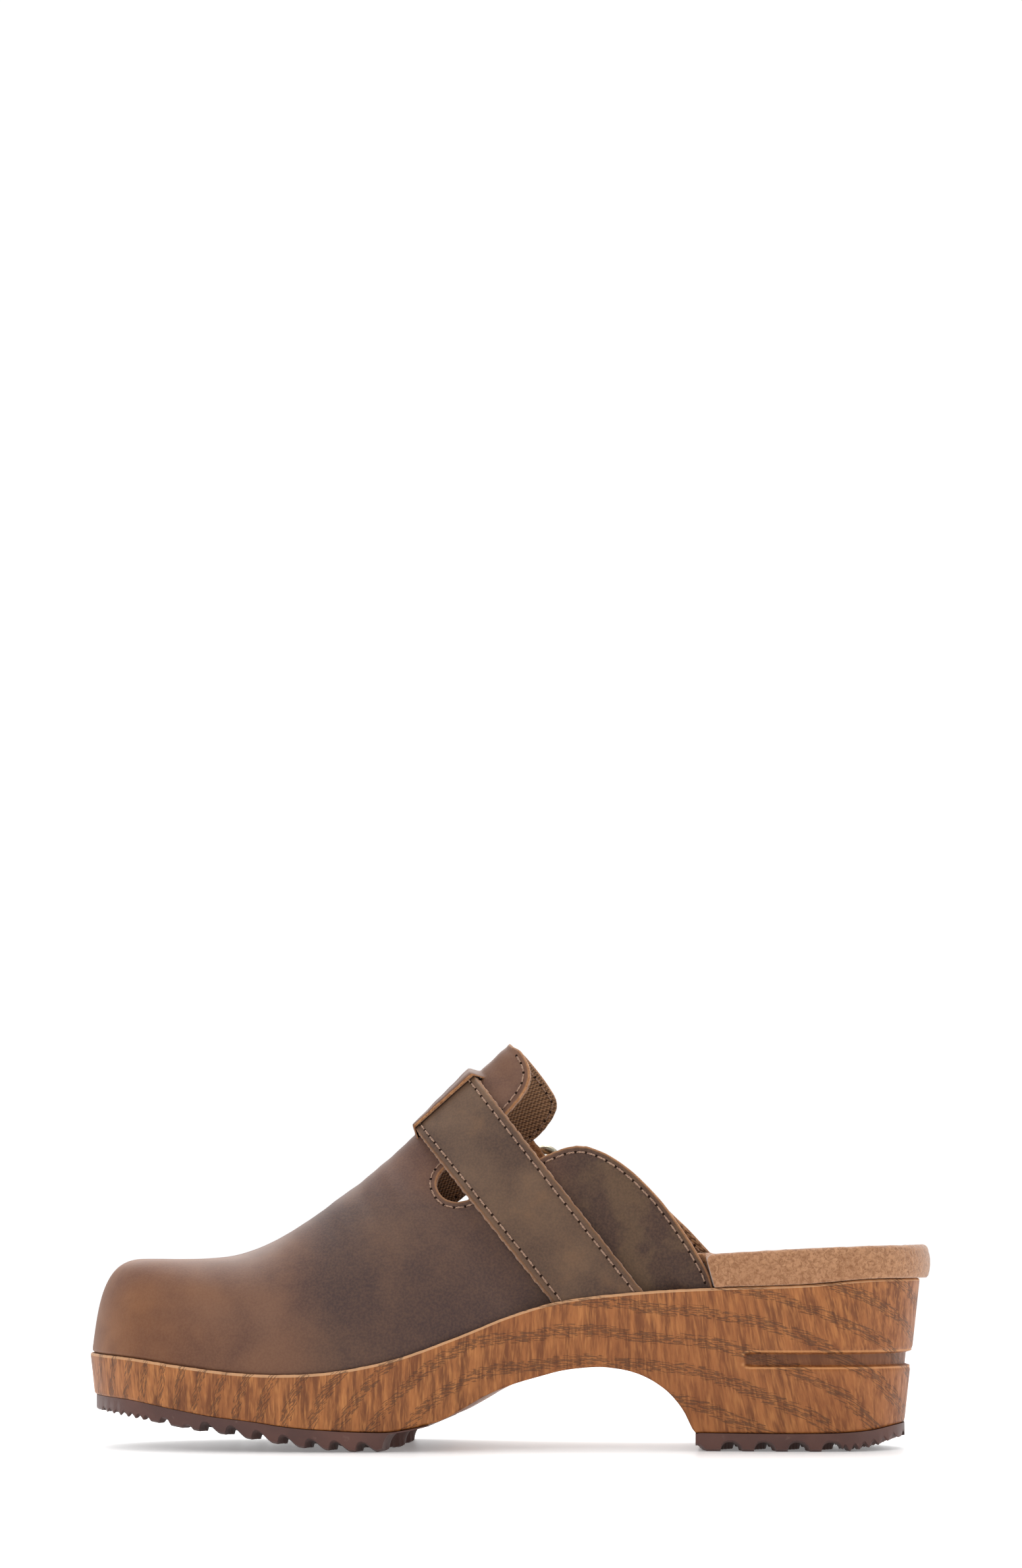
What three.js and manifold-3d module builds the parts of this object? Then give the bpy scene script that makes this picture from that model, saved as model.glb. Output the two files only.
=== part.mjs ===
// An open-back clog for the right foot: a wooden sole on two rubber treads, a padded suede
// footbed, and a nubuck upper held by a buckled strap that passes under a bridge on the instep.
// Millimetres, +Z up, toe towards -X, inner side of the foot towards -Y.
import * as THREE from "three";
import { mergeVertices } from "three/addons/utils/BufferGeometryUtils.js";
import Module from "manifold-3d";

const wasm = await Module();
wasm.setup();

// ---------------------------------------------------------------- driving dimensions

const GAP = 0.3; // clearance between pieces that touch
const ROWS = 26; // evenly placed rows of points along the shoe, heel to toe
const CENTRE = [-0.1, 0.4]; // middle of the finished object in plan, moved to the origin

// Sole seen from above: heel back, inner side, toe, outer side.
const RIM_OUTLINE = [
  [124.4, 0], [119.8, -17], [108, -28.5], [90, -32.5], [65, -31.5], [40, -31], [12, -34],
  [-15, -40], [-42, -45], [-68, -46], [-92, -42.5], [-110, -34.5], [-122, -21], [-127.3, -5],
  [-123.5, 11], [-113, 25], [-95, 37], [-72, 44.5], [-46, 47], [-18, 44.8], [12, 39.8],
  [40, 35.7], [65, 33.7], [90, 33], [108, 28.5], [119.8, 17],
];
const RIM_HEIGHT = [
  [-127, 28], [-110, 27], [-93, 24.8], [-77, 23], [-63, 22.5], [-48, 23.4], [-30, 27],
  [-12, 33.4], [4, 39.8], [19, 44], [42, 46.6], [66, 47.9], [90, 48.7], [110, 50.3], [126, 50.5],
];
const UNDERSIDE_HEIGHT = [
  [-126, 15.6], [-110.5, 14.6], [-96.8, 12.3], [-84.4, 10.2], [-72.3, 8.8], [-60.6, 7.1],
  [-49, 6.2], [-37.7, 5.7], [-30, 5.9], [-18, 8.6], [-11.4, 11.9], [-3.9, 16.2], [3.8, 19.4],
  [11.6, 21.7], [19.2, 23.6], [28.9, 24.5], [34.7, 24], [38.6, 23.2], [42.5, 21.8], [46.3, 19.7],
  [50.2, 16.6], [54.1, 11.7], [57.2, 5.6], [59, 5.3], [97, 5.3], [108.7, 6], [116.6, 7.4], [122, 8],
];
const WALL_DRAFT = 0.12; // mm inwards per mm down
const POCKET_INSET = 1; // recess in the top of the sole that takes the edge of the upper
const POCKET_DEPTH = 3.3;
const GROOVE = { bottom: 24.7, top: 28.9, depth: 1.8, front: 71.7 };

// Treads
const TREAD_INSET = 2.8;
const FOREFOOT_TREAD = { front: -124, rear: -20 };
const FOREFOOT_GROUND = [
  [-124, 11.2], [-110, 9.4], [-102, 8.2], [-88.6, 5.9], [-80, 4.9], [-71, 3.4], [-63, 2.1],
  [-56, 1.1], [-48, 0.4], [-42, 0.1], [-38, 0], [-32, 0], [-25, 1.5], [-20, 4],
];
const TOE_RIBS = { first: -121.5, count: 7, pitch: 2.6, depth: 1 };
const TEETH = { notches: [-85.4, -77.5, -69.6, -61.8, -53.9, -46.8, -39, -31.1], depth: 2.2, steep: 2.9 };
const HEEL_TREAD = { front: 58.5, rear: 118.6 };
const HEEL_GROUND = [[58, 0], [101.5, 0], [107, 0.8], [111, 1.6], [115, 3], [119.5, 3.9]];
const HEEL_GAPS = { first: 67.6, pitch: 9.9, count: 4, width: 5.5, height: 2.5 };
const HEEL_RIBS = { first: 101.4, count: 6, pitch: 2.8, depth: 1.4 };

// Footbed: height along the middle, and how much higher its edges are.
const BED_MIDDLE = [
  [-120, 31], [-90, 28.5], [-60, 27], [-40, 28.5], [-15, 37], [10, 46.5], [40, 52], [70, 53.5],
  [100, 54.5], [126, 56],
];
const BED_EDGE_RISE = [[-120, 0.5], [-60, 1.5], [0, 4], [60, 5.5], [100, 6.5], [126, 5.6]];
const BED_OVERHANG = { side: 0.8, heel: 2.7 }; // how far the footbed stands out past the wood
const BED_STEP = { narrow: 64.2, wide: 66.8 }; // it widens just behind the quarters
const COVER_THICKNESS = 1.2;
const BED_COLUMNS = 4;

// Upper: it stands on the sole's rim and rises to a ridge over the instep.
const QUARTER_REAR = 74; // rim station where the upper's surface starts
const RIDGE_Y = -4;
const RIDGE_HEIGHT = [
  [-101, 55.8], [-91, 56.2], [-83, 57.2], [-75, 59.8], [-67, 63.8], [-59, 68.6], [-51, 74.6],
  [-43, 80.6], [-35, 87.3], [-25, 96.7], [-13, 108.5], [-3, 118], [0.5, 121.2], [11, 131],
];
// Rim station -> station of the ridge that it rises to.
const RIM_TO_RIDGE = [
  [-127, -101], [-100, -98], [-80, -88], [-50, -70], [-20, -51], [18.9, -26.8], [45.4, -9.6],
  [74, 10.9],
];
const FULLNESS = [[-127, 4.5], [-100, 3.8], [-60, 2.9], [-20, 2.3], [20, 2.05], [66, 1.9]];
const LEAN = [[-127, 0.15], [-60, 0.08], [-20, 0.02], [66, 0]];
const LEATHER = 1.6;
const TRIM = 1; // the upper's layers start this far below the pocket's floor and are cut there
const LINING = { outer: -3.2, inner: -3.9 };
const TOE_PUFF = { outer: -2.2, inner: -2.7, rear: -88 };

// Top edge of the upper in side view, from the tip of the tongue, round the side slot and
// along the quarter to the sole: [x, z].
const TOPLINE_INNER = [
  [-3, 128], [0.5, 121.2], [4.5, 118.4], [7.3, 112.3], [5, 105.2], [-6, 93], [-16.2, 84.3],
  [-19.3, 79], [-16.7, 74.9], [-11.2, 74.5], [-2, 79], [13.3, 86.9], [22.5, 89.5], [30.3, 87.6],
  [38.2, 82.5], [46.2, 75], [52.2, 67.6], [58.6, 58.8], [63.2, 51], [64.6, 44],
];
const TOPLINE_OUTER = [
  [-3, 128], [0.5, 121.2], [4.2, 118], [10.5, 109.5], [13, 103.5], [8.9, 96], [0, 89],
  [-10, 81], [-20.5, 72.5], [-19, 69.5], [-15, 68.5], [-8, 70.5], [4, 77], [14, 82], [22, 84],
  [30, 83.5], [38, 79.5], [47.3, 70.9], [55.7, 62.5], [63.5, 53], [65, 44],
];

// Strap: its edges stand at these rim stations on the inner side.
const STRAP_FRONT = 18.9;
const STRAP_REAR = 45.4;
const BACKING = { inner: 1.1, outer: 1.4 };
const STRAP = { inner: 1.7, outer: 2.9 };
const BRIDGE = { half: 0.15, inner: 3.4, outer: 4.7, ramp: 0.035 };
const STRAP_DIP = 1.3; // the strap sinks this far into the opening under the bridge

// Buckle, in a frame of its own: a runs down the strap, n away from the shoe.
const BAR = { height: 66, lift: 3, radius: 1.1 };
const FRAME = { reach: 21, innerWidth: 25.4, outerWidth: 31, rim: 1.3, hub: 2.4 };
const PRONG = { width: 2.2, thickness: 1.6, eye: 2.3, tip: 23.6 };
const CHAPE = { width: 22, thickness: 1.2, slot: 3.4, fold: 13 };
const STRAP_OVER_BAR = 6; // inner face of the strap above the bar
const STRAP_END = 3;
const TAIL = { start: 3.3, end: 20, thickness: 1.6 };
const PRONG_SLOT = { from: -15, to: 1, width: 3.4 };

// Stitching
const THREAD = 0.2;
const TOPLINE_STITCH_INSET = 2;
const STRAP_STITCH_INSET = 0.0105; // of the upper's length, 2.4 mm

// ---------------------------------------------------------------- curves

const { lerp, smoothstep, clamp } = THREE.MathUtils;
const range = (count) => Array.from({ length: count }, (_, i) => i);
const vec = (x, y, z) => new THREE.Vector3(x, y, z);

/** A smooth function through pairs of [x, value], straight beyond the ends. */
function through(pairs) {
  const last = pairs.length - 1;
  const slope = pairs.map((_, i) => {
    const [xa, va] = pairs[Math.max(i - 1, 0)];
    const [xb, vb] = pairs[Math.min(i + 1, last)];
    return (vb - va) / (xb - xa);
  });
  return (x) => {
    if (x <= pairs[0][0]) return pairs[0][1] + slope[0] * (x - pairs[0][0]);
    if (x >= pairs[last][0]) return pairs[last][1] + slope[last] * (x - pairs[last][0]);
    const i = pairs.findIndex(([px]) => px > x) - 1;
    const [x0, v0] = pairs[i];
    const [x1, v1] = pairs[i + 1];
    const width = x1 - x0;
    const s = (x - x0) / width;
    const fromStart = v0 * (1 + 2 * s) + slope[i] * width * s;
    const fromEnd = v1 * (3 - 2 * s) - slope[i + 1] * width * (1 - s);
    return fromStart * (1 - s) * (1 - s) + fromEnd * s * s;
  };
}

const rimHeight = through(RIM_HEIGHT);
const undersideHeight = through(UNDERSIDE_HEIGHT);
const bedMiddle = through(BED_MIDDLE);
const bedEdgeRise = through(BED_EDGE_RISE);
const ridgeHeight = through(RIDGE_HEIGHT);
const ridgeStation = through(RIM_TO_RIDGE);
const fullness = through(FULLNESS);
const lean = through(LEAN);

const outline = new THREE.CatmullRomCurve3(RIM_OUTLINE.map(([x, y]) => vec(x, y, 0)), true);

/** Point of the rim at t (0 heel back, 0.5 toe), moved inwards by inset(x). */
function rimPoint(t, inset) {
  const point = outline.getPoint(t % 1);
  const along = outline.getTangent(t % 1);
  return point.addScaledVector(vec(along.y, -along.x, 0), inset(point.x));
}

/** How far inside the rim the outer face of the upper stands: more where the strap lies on it. */
function leatherInset(x) {
  const strapZone = smoothstep(x, 0, 13) - smoothstep(x, 52, 62);
  return 1.3 + 2.7 * strapZone + 0.7 * smoothstep(x, 52, 62);
}

// ---------------------------------------------------------------- solids

/** Closed geometry from points and triangles: equal points become one, flat triangles go. */
function closed(points, faces) {
  const raw = new THREE.BufferGeometry().setFromPoints(points);
  raw.setIndex(faces.flat());
  const merged = mergeVertices(raw, 1e-3);
  const index = merged.getIndex().array;
  const kept = [];
  for (let i = 0; i < index.length; i += 3) {
    const [a, b, c] = index.slice(i, i + 3);
    if (a !== b && b !== c && c !== a) kept.push(a, b, c);
  }
  merged.setIndex(kept);
  return merged;
}

/** Closed solid between two grids of points. A folded one closes on itself in its last row. */
function between(outer, inner, folded = false) {
  const last = outer.length - 1;
  const end = outer[0].length - 1;
  const points = [...outer.flat(), ...inner.flat()];
  const o = (row, column) => row * (end + 1) + column;
  const i = (row, column) => (last + 1) * (end + 1) + o(row, column);
  const faces = [];
  const quad = (a, b, c, d) => faces.push([a, b, c], [a, c, d]);
  for (const r of range(last)) {
    for (const c of range(end)) {
      quad(o(r, c), o(r, c + 1), o(r + 1, c + 1), o(r + 1, c));
      quad(i(r, c), i(r + 1, c), i(r + 1, c + 1), i(r, c + 1));
    }
    quad(o(r, 0), o(r + 1, 0), i(r + 1, 0), i(r, 0));
    quad(o(r + 1, end), o(r, end), i(r, end), i(r + 1, end));
  }
  for (const c of range(end)) {
    quad(o(0, c + 1), o(0, c), i(0, c), i(0, c + 1));
    if (!folded) quad(o(last, c), o(last, c + 1), i(last, c + 1), i(last, c));
  }
  return closed(points, faces);
}

/** three.js geometry -> manifold-3d solid. */
function solid(geometry) {
  const bare = geometry.clone();
  bare.deleteAttribute("normal");
  bare.deleteAttribute("uv");
  const merged = mergeVertices(bare, 1e-4);
  const triVerts = new Uint32Array(merged.getIndex().array);
  const vertProperties = new Float32Array(merged.getAttribute("position").array);
  return new wasm.Manifold(new wasm.Mesh({ numProp: 3, vertProperties, triVerts }));
}

/** manifold-3d solid -> three.js geometry. */
function geometryOf(manifold) {
  const { vertProperties, triVerts } = manifold.getMesh();
  const geometry = new THREE.BufferGeometry();
  geometry.setAttribute("position", new THREE.BufferAttribute(vertProperties, 3));
  geometry.setIndex([...triVerts]);
  return geometry;
}

/** Where the rows lie: evenly from heel (0) to toe (0.5), with more at the step in the footbed
 *  and under the arch. The outline has a point on each side at x = 65 (number 4) and 40 (5). */
const EXTRA_ROWS = [3.88, 4.03, 4.2, 4.3, 4.4, 4.62, 4.75, 4.87];
const ROW_PLACES = [
  ...range(ROWS + 1).map((i) => i / (2 * ROWS)),
  ...EXTRA_ROWS.map((place) => place / RIM_OUTLINE.length),
].sort((a, b) => a - b);

/** A layer of the sole between two surfaces, each { inset(x), height(x, across) }. */
function slab(top, bottom, columns = 1) {
  const grid = ({ inset, height }) => ROW_PLACES.map((t) => {
    const innerSide = rimPoint(t, inset);
    const outerSide = rimPoint(1 - t, inset);
    const tip = t === 0 || t === 0.5;
    return range(columns + 1).map((column) => {
      const point = innerSide.clone().lerp(outerSide, column / columns);
      point.z = height(point.x, tip ? 1 : Math.abs((2 * column) / columns - 1));
      return point;
    });
  });
  return between(grid(top), grid(bottom));
}

/** A side-view outline of [x, z] points, extruded from y0 to y1. */
function sideProfile(points, y0, y1) {
  const shape = new THREE.Shape(points.map(([x, z]) => new THREE.Vector2(x, z)));
  const geometry = new THREE.ExtrudeGeometry(shape, { depth: y1 - y0, bevelEnabled: false });
  return geometry.rotateX(Math.PI / 2).translate(0, y1, 0);
}

function box(x0, x1, y0, y1, z0, z1) {
  const geometry = new THREE.BoxGeometry(x1 - x0, y1 - y0, z1 - z0);
  return geometry.translate((x0 + x1) / 2, (y0 + y1) / 2, (z0 + z1) / 2);
}

/** A thread or bead of round section along points. */
function bead(points, radius, step) {
  const path = new THREE.CatmullRomCurve3(points);
  const section = new THREE.Shape().absarc(0, 0, radius, 0, 2 * Math.PI);
  const steps = Math.max(2, Math.round(path.getLength() / step));
  return new THREE.ExtrudeGeometry(section, { extrudePath: path, steps, curveSegments: 5 });
}

// ---------------------------------------------------------------- surface of the upper

/** Rim of the upper on one side (-1 inner, 1 outer), from the quarter's rear to the toe. */
function upperRim(side) {
  const samples = range(601)
    .map((i) => rimPoint(side < 0 ? i / 1200 : 1 - i / 1200, leatherInset))
    .filter((point) => point.x <= QUARTER_REAR);
  const length = [0];
  samples.forEach((point, i) => {
    if (i > 0) length.push(length[i - 1] + point.distanceTo(samples[i - 1]));
  });
  const total = length[length.length - 1];
  const at = (k) => {
    const goal = k * total;
    const i = Math.max(1, length.findIndex((value) => value >= goal - 1e-9));
    const share = clamp((goal - length[i - 1]) / (length[i] - length[i - 1]), 0, 1);
    return samples[i - 1].clone().lerp(samples[i], share);
  };
  const stationOf = (x) => length[samples.findIndex((point) => point.x < x)] / total;
  return { at, stationOf };
}

const innerRim = upperRim(-1);
const outerRim = upperRim(1);

/** Surface of the upper. k runs from the quarter's rear (0) to the toe (1), and q from the
 *  inner rim (-1) over the ridge (0) to the outer rim (1). */
function upperPoint(k, q) {
  const foot = (q < 0 ? innerRim : outerRim).at(k);
  const ridgeX = ridgeStation(innerRim.at(k).x);
  const power = fullness(foot.x);
  const angle = ((1 - Math.abs(q)) * Math.PI) / 2;
  const size = (Math.cos(angle) ** power + Math.sin(angle) ** power) ** (1 / power);
  const up = Math.sin(angle) / size;
  const out = (Math.cos(angle) / size) * (1 - lean(foot.x) * up);
  const forward = lerp(out, 1 - up, smoothstep(foot.x, -85, -30));
  const footZ = rimHeight(foot.x) - POCKET_DEPTH - TRIM;
  return vec(
    lerp(ridgeX, foot.x, forward),
    lerp(RIDGE_Y, foot.y, out),
    lerp(footZ, ridgeHeight(ridgeX), up),
  );
}

/** Outward direction of the upper at k, q. */
function upperNormal(k, q) {
  const d = 0.004;
  const [k0, k1] = [clamp(k - d, 0, 1), clamp(k + d, 0, 1)];
  const [q0, q1] = [clamp(q - d, -1, 1), clamp(q + d, -1, 1)];
  const alongQ = upperPoint(k, q1).sub(upperPoint(k, q0));
  const alongK = upperPoint(k1, q).sub(upperPoint(k0, q));
  const normal = alongQ.cross(alongK);
  if (Math.abs(q) < 0.1 && k > 0.8) return vec(0, 0, 1);
  return normal.normalize();
}

/** Point at a distance off the upper. At the toe both sides share one middle line. */
function offUpper(k, q, distance) {
  if (k < 0.999) return upperPoint(k, q).addScaledVector(upperNormal(k, q), distance);
  const up = Math.abs(q);
  const normal = upperNormal(0.998, up).add(upperNormal(0.998, -up)).normalize();
  return upperPoint(1, up).addScaledVector(normal, distance);
}

/** A layer that follows the upper, between two distances off it (numbers or functions). */
function layer({ k0 = 0, k1 = 1, q0 = -1, q1 = 1, rows, columns, inner, outer }) {
  const grid = (distance) => range(rows + 1).map((row) => range(columns + 1).map((column) => {
    const k = lerp(k0, k1, row / rows);
    const q = lerp(q0, q1, column / columns);
    return offUpper(k, q, typeof distance === "function" ? distance(k, q) : distance);
  }));
  return between(grid(outer), grid(inner), k1 === 1);
}

const smoothLine = (points, perSpan) => new THREE.SplineCurve(
  points.map(([x, z]) => new THREE.Vector2(x, z)),
).getPoints((points.length - 1) * perSpan);

/** Everything in front of and below the top edge, the inner and the outer side joined. */
function insideTopline(inset) {
  const half = (topline, y0, y1) => {
    const line = insetLine(smoothLine(topline, 2), inset).map(({ x, y }) => [x, y]);
    const around = [[66, -5], [-140, -5], [-140, 140], [-3, 140]];
    return solid(sideProfile([...line, ...around], y0, y1));
  };
  return half(TOPLINE_INNER, -80, RIDGE_Y).add(half(TOPLINE_OUTER, RIDGE_Y, 80));
}

/** The same line moved to its right, into the leather. */
function insetLine(points, inset) {
  if (inset === 0) return points;
  return points.map((point, i) => {
    const before = points[Math.max(i - 1, 0)];
    const after = points[Math.min(i + 1, points.length - 1)];
    const along = after.clone().sub(before).normalize();
    return point.clone().add(new THREE.Vector2(along.y, -along.x).multiplyScalar(inset));
  });
}

/** k and q of the surface point that has this x and z, on one side. */
function findOnUpper(side, x, z, guess) {
  let [k, q] = guess;
  const step = 0.002;
  for (let pass = 0; pass < 12; pass += 1) {
    const here = upperPoint(k, q);
    const byK = upperPoint(k + step, q).sub(here).divideScalar(step);
    const byQ = upperPoint(k, q + step).sub(here).divideScalar(step);
    const det = byK.x * byQ.z - byQ.x * byK.z;
    if (Math.abs(det) < 1e-6) break;
    const dx = x - here.x;
    const dz = z - here.z;
    k = clamp(k + clamp((dx * byQ.z - dz * byQ.x) / det, -0.1, 0.1), 0.001, 0.99);
    q = clamp(q + clamp((dz * byK.x - dx * byK.z) / det, -0.1, 0.1), side < 0 ? -1 : 0.02,
      side < 0 ? -0.02 : 1);
  }
  return [k, q];
}

// ---------------------------------------------------------------- sole and treads

const fixed = (value) => () => value;

function woodenSole() {
  const depth = (x) => rimHeight(x) - undersideHeight(x);
  const block = solid(slab(
    { inset: fixed(0), height: rimHeight },
    { inset: (x) => WALL_DRAFT * depth(x), height: undersideHeight },
  ));
  const pocket = solid(slab(
    { inset: fixed(POCKET_INSET), height: (x) => rimHeight(x) + 2 },
    { inset: fixed(POCKET_INSET), height: (x) => rimHeight(x) - POCKET_DEPTH },
  ));
  return block.subtract(pocket).subtract(heelGroove());
}

/** The decorative groove round the back of the heel, with round front ends. */
function heelGroove() {
  const { bottom, top, depth, front } = GROOVE;
  const radius = (top - bottom) / 2;
  const draft = WALL_DRAFT * (rimHeight(100) - bottom);
  const disc = (inset, z0, z1) => solid(slab(
    { inset: fixed(inset), height: fixed(z1) },
    { inset: fixed(inset), height: fixed(z0) },
  ));
  const ring = disc(-4, bottom, top).subtract(disc(draft + depth, bottom - 1, top + 1));
  const roundEnd = new THREE.CylinderGeometry(radius, radius, 120, 16);
  roundEnd.translate(front + radius, 0, (bottom + top) / 2);
  const reach = solid(box(front + radius, 140, -60, 60, 0, 60)).add(solid(roundEnd));
  return ring.intersect(reach);
}

/** Zigzag of small ribs under a ground line: valley, then peak. */
function ribs({ first, count, pitch, depth }, ground) {
  return range(count).flatMap((i) => {
    const x = first + i * pitch;
    return [[x, ground(x)], [x + pitch / 2, ground(x + pitch / 2) + depth]];
  });
}

function tread({ front, rear }, underneath) {
  const top = UNDERSIDE_HEIGHT.map(([x]) => x).filter((x) => x > front && x < rear);
  const topLine = [front, ...top, rear].map((x) => [x, undersideHeight(x) - GAP]);
  const profile = solid(sideProfile([...underneath, ...topLine.reverse()], -60, 60));
  const plan = solid(slab(
    { inset: fixed(TREAD_INSET), height: fixed(60) },
    { inset: fixed(TREAD_INSET), height: fixed(-5) },
  ));
  return profile.intersect(plan);
}

function forefootTread() {
  const groundLine = through(FOREFOOT_GROUND);
  const ground = (x) => Math.max(0, groundLine(x));
  const { notches, depth, steep } = TEETH;
  const teeth = notches.flatMap((x) => [
    [x - steep - 1, ground(x - steep - 1)],
    [x - steep, ground(x - steep)],
    [x, ground(x) + depth],
  ]);
  const { front, rear } = FOREFOOT_TREAD;
  const underneath = [
    [front, ground(front)],
    ...ribs(TOE_RIBS, ground),
    [-101, ground(-101)],
    [-99, ground(-99) + TOE_RIBS.depth],
    [-97, ground(-97)],
    ...teeth,
    [-26, ground(-26)],
    [rear, ground(rear)],
  ];
  return tread(FOREFOOT_TREAD, underneath);
}

function heelTread() {
  const ground = through(HEEL_GROUND);
  const { first, pitch, count, width, height } = HEEL_GAPS;
  const arcSteps = 8;
  const gaps = range(count).flatMap((i) => range(arcSteps + 1).map((s) => {
    const angle = Math.PI * (1 - s / arcSteps);
    return [first + i * pitch + (width / 2) * Math.cos(angle), height * Math.sin(angle)];
  }));
  const { front, rear } = HEEL_TREAD;
  const underneath = [[front, 0], ...gaps, ...ribs(HEEL_RIBS, ground), [rear, ground(rear)]];
  return tread(HEEL_TREAD, underneath);
}

/** The space inside the pocket and over it: what is lasted into the sole is cut to this. */
const overPocket = solid(slab(
  { inset: fixed(POCKET_INSET + GAP / 2), height: fixed(140) },
  { inset: fixed(POCKET_INSET + GAP / 2), height: (x) => rimHeight(x) - POCKET_DEPTH + GAP },
));

// ---------------------------------------------------------------- footbed

/** Height of the top of the footbed; across is 0 in the middle and 1 at the edge. */
function bedTop(x, across) {
  const heelEnd = clamp((x - 94) / 31, 0, 1);
  const cup = Math.min(1, (across ** 4 + heelEnd ** 4) ** 0.25);
  return bedMiddle(x) + bedEdgeRise(x) * cup ** 2.5;
}

const baseTop = (x) => Math.min(rimHeight(x) + 3, bedMiddle(x) - 3.4);

/** 0 inside the upper, 1 behind the quarters. */
const behindQuarters = (x) => smoothstep(x, BED_STEP.narrow, BED_STEP.wide);

/** Inset of a footbed layer: narrow inside the upper, wide behind the quarters. */
const bedInset = (extra, wide) => (x) => lerp(leatherInset(x) + extra, wide(x), behindQuarters(x));

const overhang = (x) => lerp(BED_OVERHANG.side, BED_OVERHANG.heel, smoothstep(x, 95, 124));

function insoleBoard() {
  const inset = bedInset(5.2, fixed(POCKET_INSET + GAP));
  return slab(
    { inset, height: (x) => rimHeight(x) - 1.2 },
    { inset, height: (x) => rimHeight(x) - POCKET_DEPTH + GAP },
  );
}

function footbedBase() {
  const inset = bedInset(6, fixed(2.2));
  return slab({ inset, height: baseTop }, { inset, height: (x) => rimHeight(x) - 0.9 });
}

const underCover = (x, across) => bedTop(x, across) - COVER_THICKNESS;

function footbedFoam() {
  const inset = bedInset(7.6, fixed(2.4));
  return slab(
    { inset, height: (x, across) => underCover(x, across) - 4 * GAP },
    { inset, height: (x) => baseTop(x) + GAP },
    BED_COLUMNS,
  );
}

/** Suede over the foam, with a skirt round the heel that comes down to the wood. */
function footbedCover() {
  const inset = bedInset(7.6, (x) => -overhang(x));
  const skirtFoot = (x) => rimHeight(x) + GAP;
  const hood = slab(
    { inset, height: bedTop },
    { inset, height: (x, across) => lerp(underCover(x, across), skirtFoot(x), behindQuarters(x)) },
    BED_COLUMNS,
  );
  const hollowInset = bedInset(7.6 - 2 * GAP, fixed(2.4 - 2 * GAP));
  const hollow = slab(
    { inset: hollowInset, height: underCover },
    { inset: hollowInset, height: fixed(20) },
    BED_COLUMNS,
  );
  const heel = box(BED_STEP.narrow + 0.2, 140, -60, 60, 0, 90);
  return solid(hood).subtract(solid(hollow).intersect(solid(heel)));
}

// ---------------------------------------------------------------- upper

const strapFront = innerRim.stationOf(STRAP_FRONT);
const strapRear = innerRim.stationOf(STRAP_REAR);
const strapMiddle = (strapFront + strapRear) / 2;

/** How far the strap sinks under the bridge. */
const dip = (q) => STRAP_DIP * (1 - smoothstep(Math.abs(q), 0.06, BRIDGE.half));

/** 1 where the bridge stands over the strap, down to 0 at its front and rear ends. */
function bridgeRise(k) {
  const clear = 0.004;
  const rear = smoothstep(k, strapRear - clear - BRIDGE.ramp, strapRear - clear);
  const front = 1 - smoothstep(k, strapFront + clear, strapFront + clear + BRIDGE.ramp);
  return rear * front;
}

function upperLeather() {
  const shell = solid(layer({ rows: 22, columns: 20, inner: -LEATHER, outer: 0 }));
  const ends = { k0: strapRear - 0.03, k1: strapFront + 0.03 };
  const window = solid(layer({
    k0: strapRear - 0.012, k1: strapFront + 0.012, q0: -BRIDGE.half, q1: BRIDGE.half,
    rows: 6, columns: 4, inner: -4, outer: 2,
  }));
  const bridge = solid(layer({
    k0: ends.k0 - 0.012, k1: ends.k1 + 0.012, q0: -BRIDGE.half, q1: BRIDGE.half,
    rows: 12, columns: 6,
    inner: (k, q) => lerp(-LEATHER + 0.2, BRIDGE.inner - dip(q), bridgeRise(k)),
    outer: (k, q) => lerp(0.1, BRIDGE.outer - dip(q), bridgeRise(k)),
  }));
  return shell.intersect(insideTopline(0)).intersect(overPocket).subtract(window).add(bridge);
}

function upperLining() {
  const shell = solid(layer({ rows: 16, columns: 16, inner: LINING.inner, outer: LINING.outer }));
  return shell.intersect(insideTopline(0.5)).intersect(overPocket);
}

function toePuff() {
  const shell = solid(layer({
    k0: innerRim.stationOf(TOE_PUFF.rear), rows: 8, columns: 16,
    inner: TOE_PUFF.inner, outer: TOE_PUFF.outer,
  }));
  return shell.intersect(overPocket);
}

/** Stitching that follows the top edge of one side of the upper. */
function toplineStitching(side) {
  const line = smoothLine(side < 0 ? TOPLINE_INNER : TOPLINE_OUTER, 4);
  const seam = insetLine(line, TOPLINE_STITCH_INSET).filter(({ x, y }) => y < 117 && y > 49);
  let place = [0.02, side * 0.2];
  const points = seam.map(({ x, y: z }) => {
    place = findOnUpper(side, x, z, place);
    return offUpper(place[0], place[1], GAP + THREAD + 0.1);
  });
  return bead(points, THREAD, 6);
}

// ---------------------------------------------------------------- buckle frame of reference

/** q on the strap's middle line, outer side, where the surface is at this height. */
function strapPlace(height) {
  let [low, high] = [0.05, 1];
  for (let i = 0; i < 40; i += 1) {
    const middle = (low + high) / 2;
    if (upperPoint(strapMiddle, middle).z > height) low = middle;
    else high = middle;
  }
  return low;
}

const barPlace = strapPlace(BAR.height);
const buckleOrigin = upperPoint(strapMiddle, barPlace);
const awayFromShoe = upperNormal(strapMiddle, barPlace);
const downStrap = upperPoint(strapMiddle, barPlace + 0.01).sub(buckleOrigin);
downStrap.addScaledVector(awayFromShoe, -downStrap.dot(awayFromShoe)).normalize();
const acrossStrap = awayFromShoe.clone().cross(downStrap);

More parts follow.
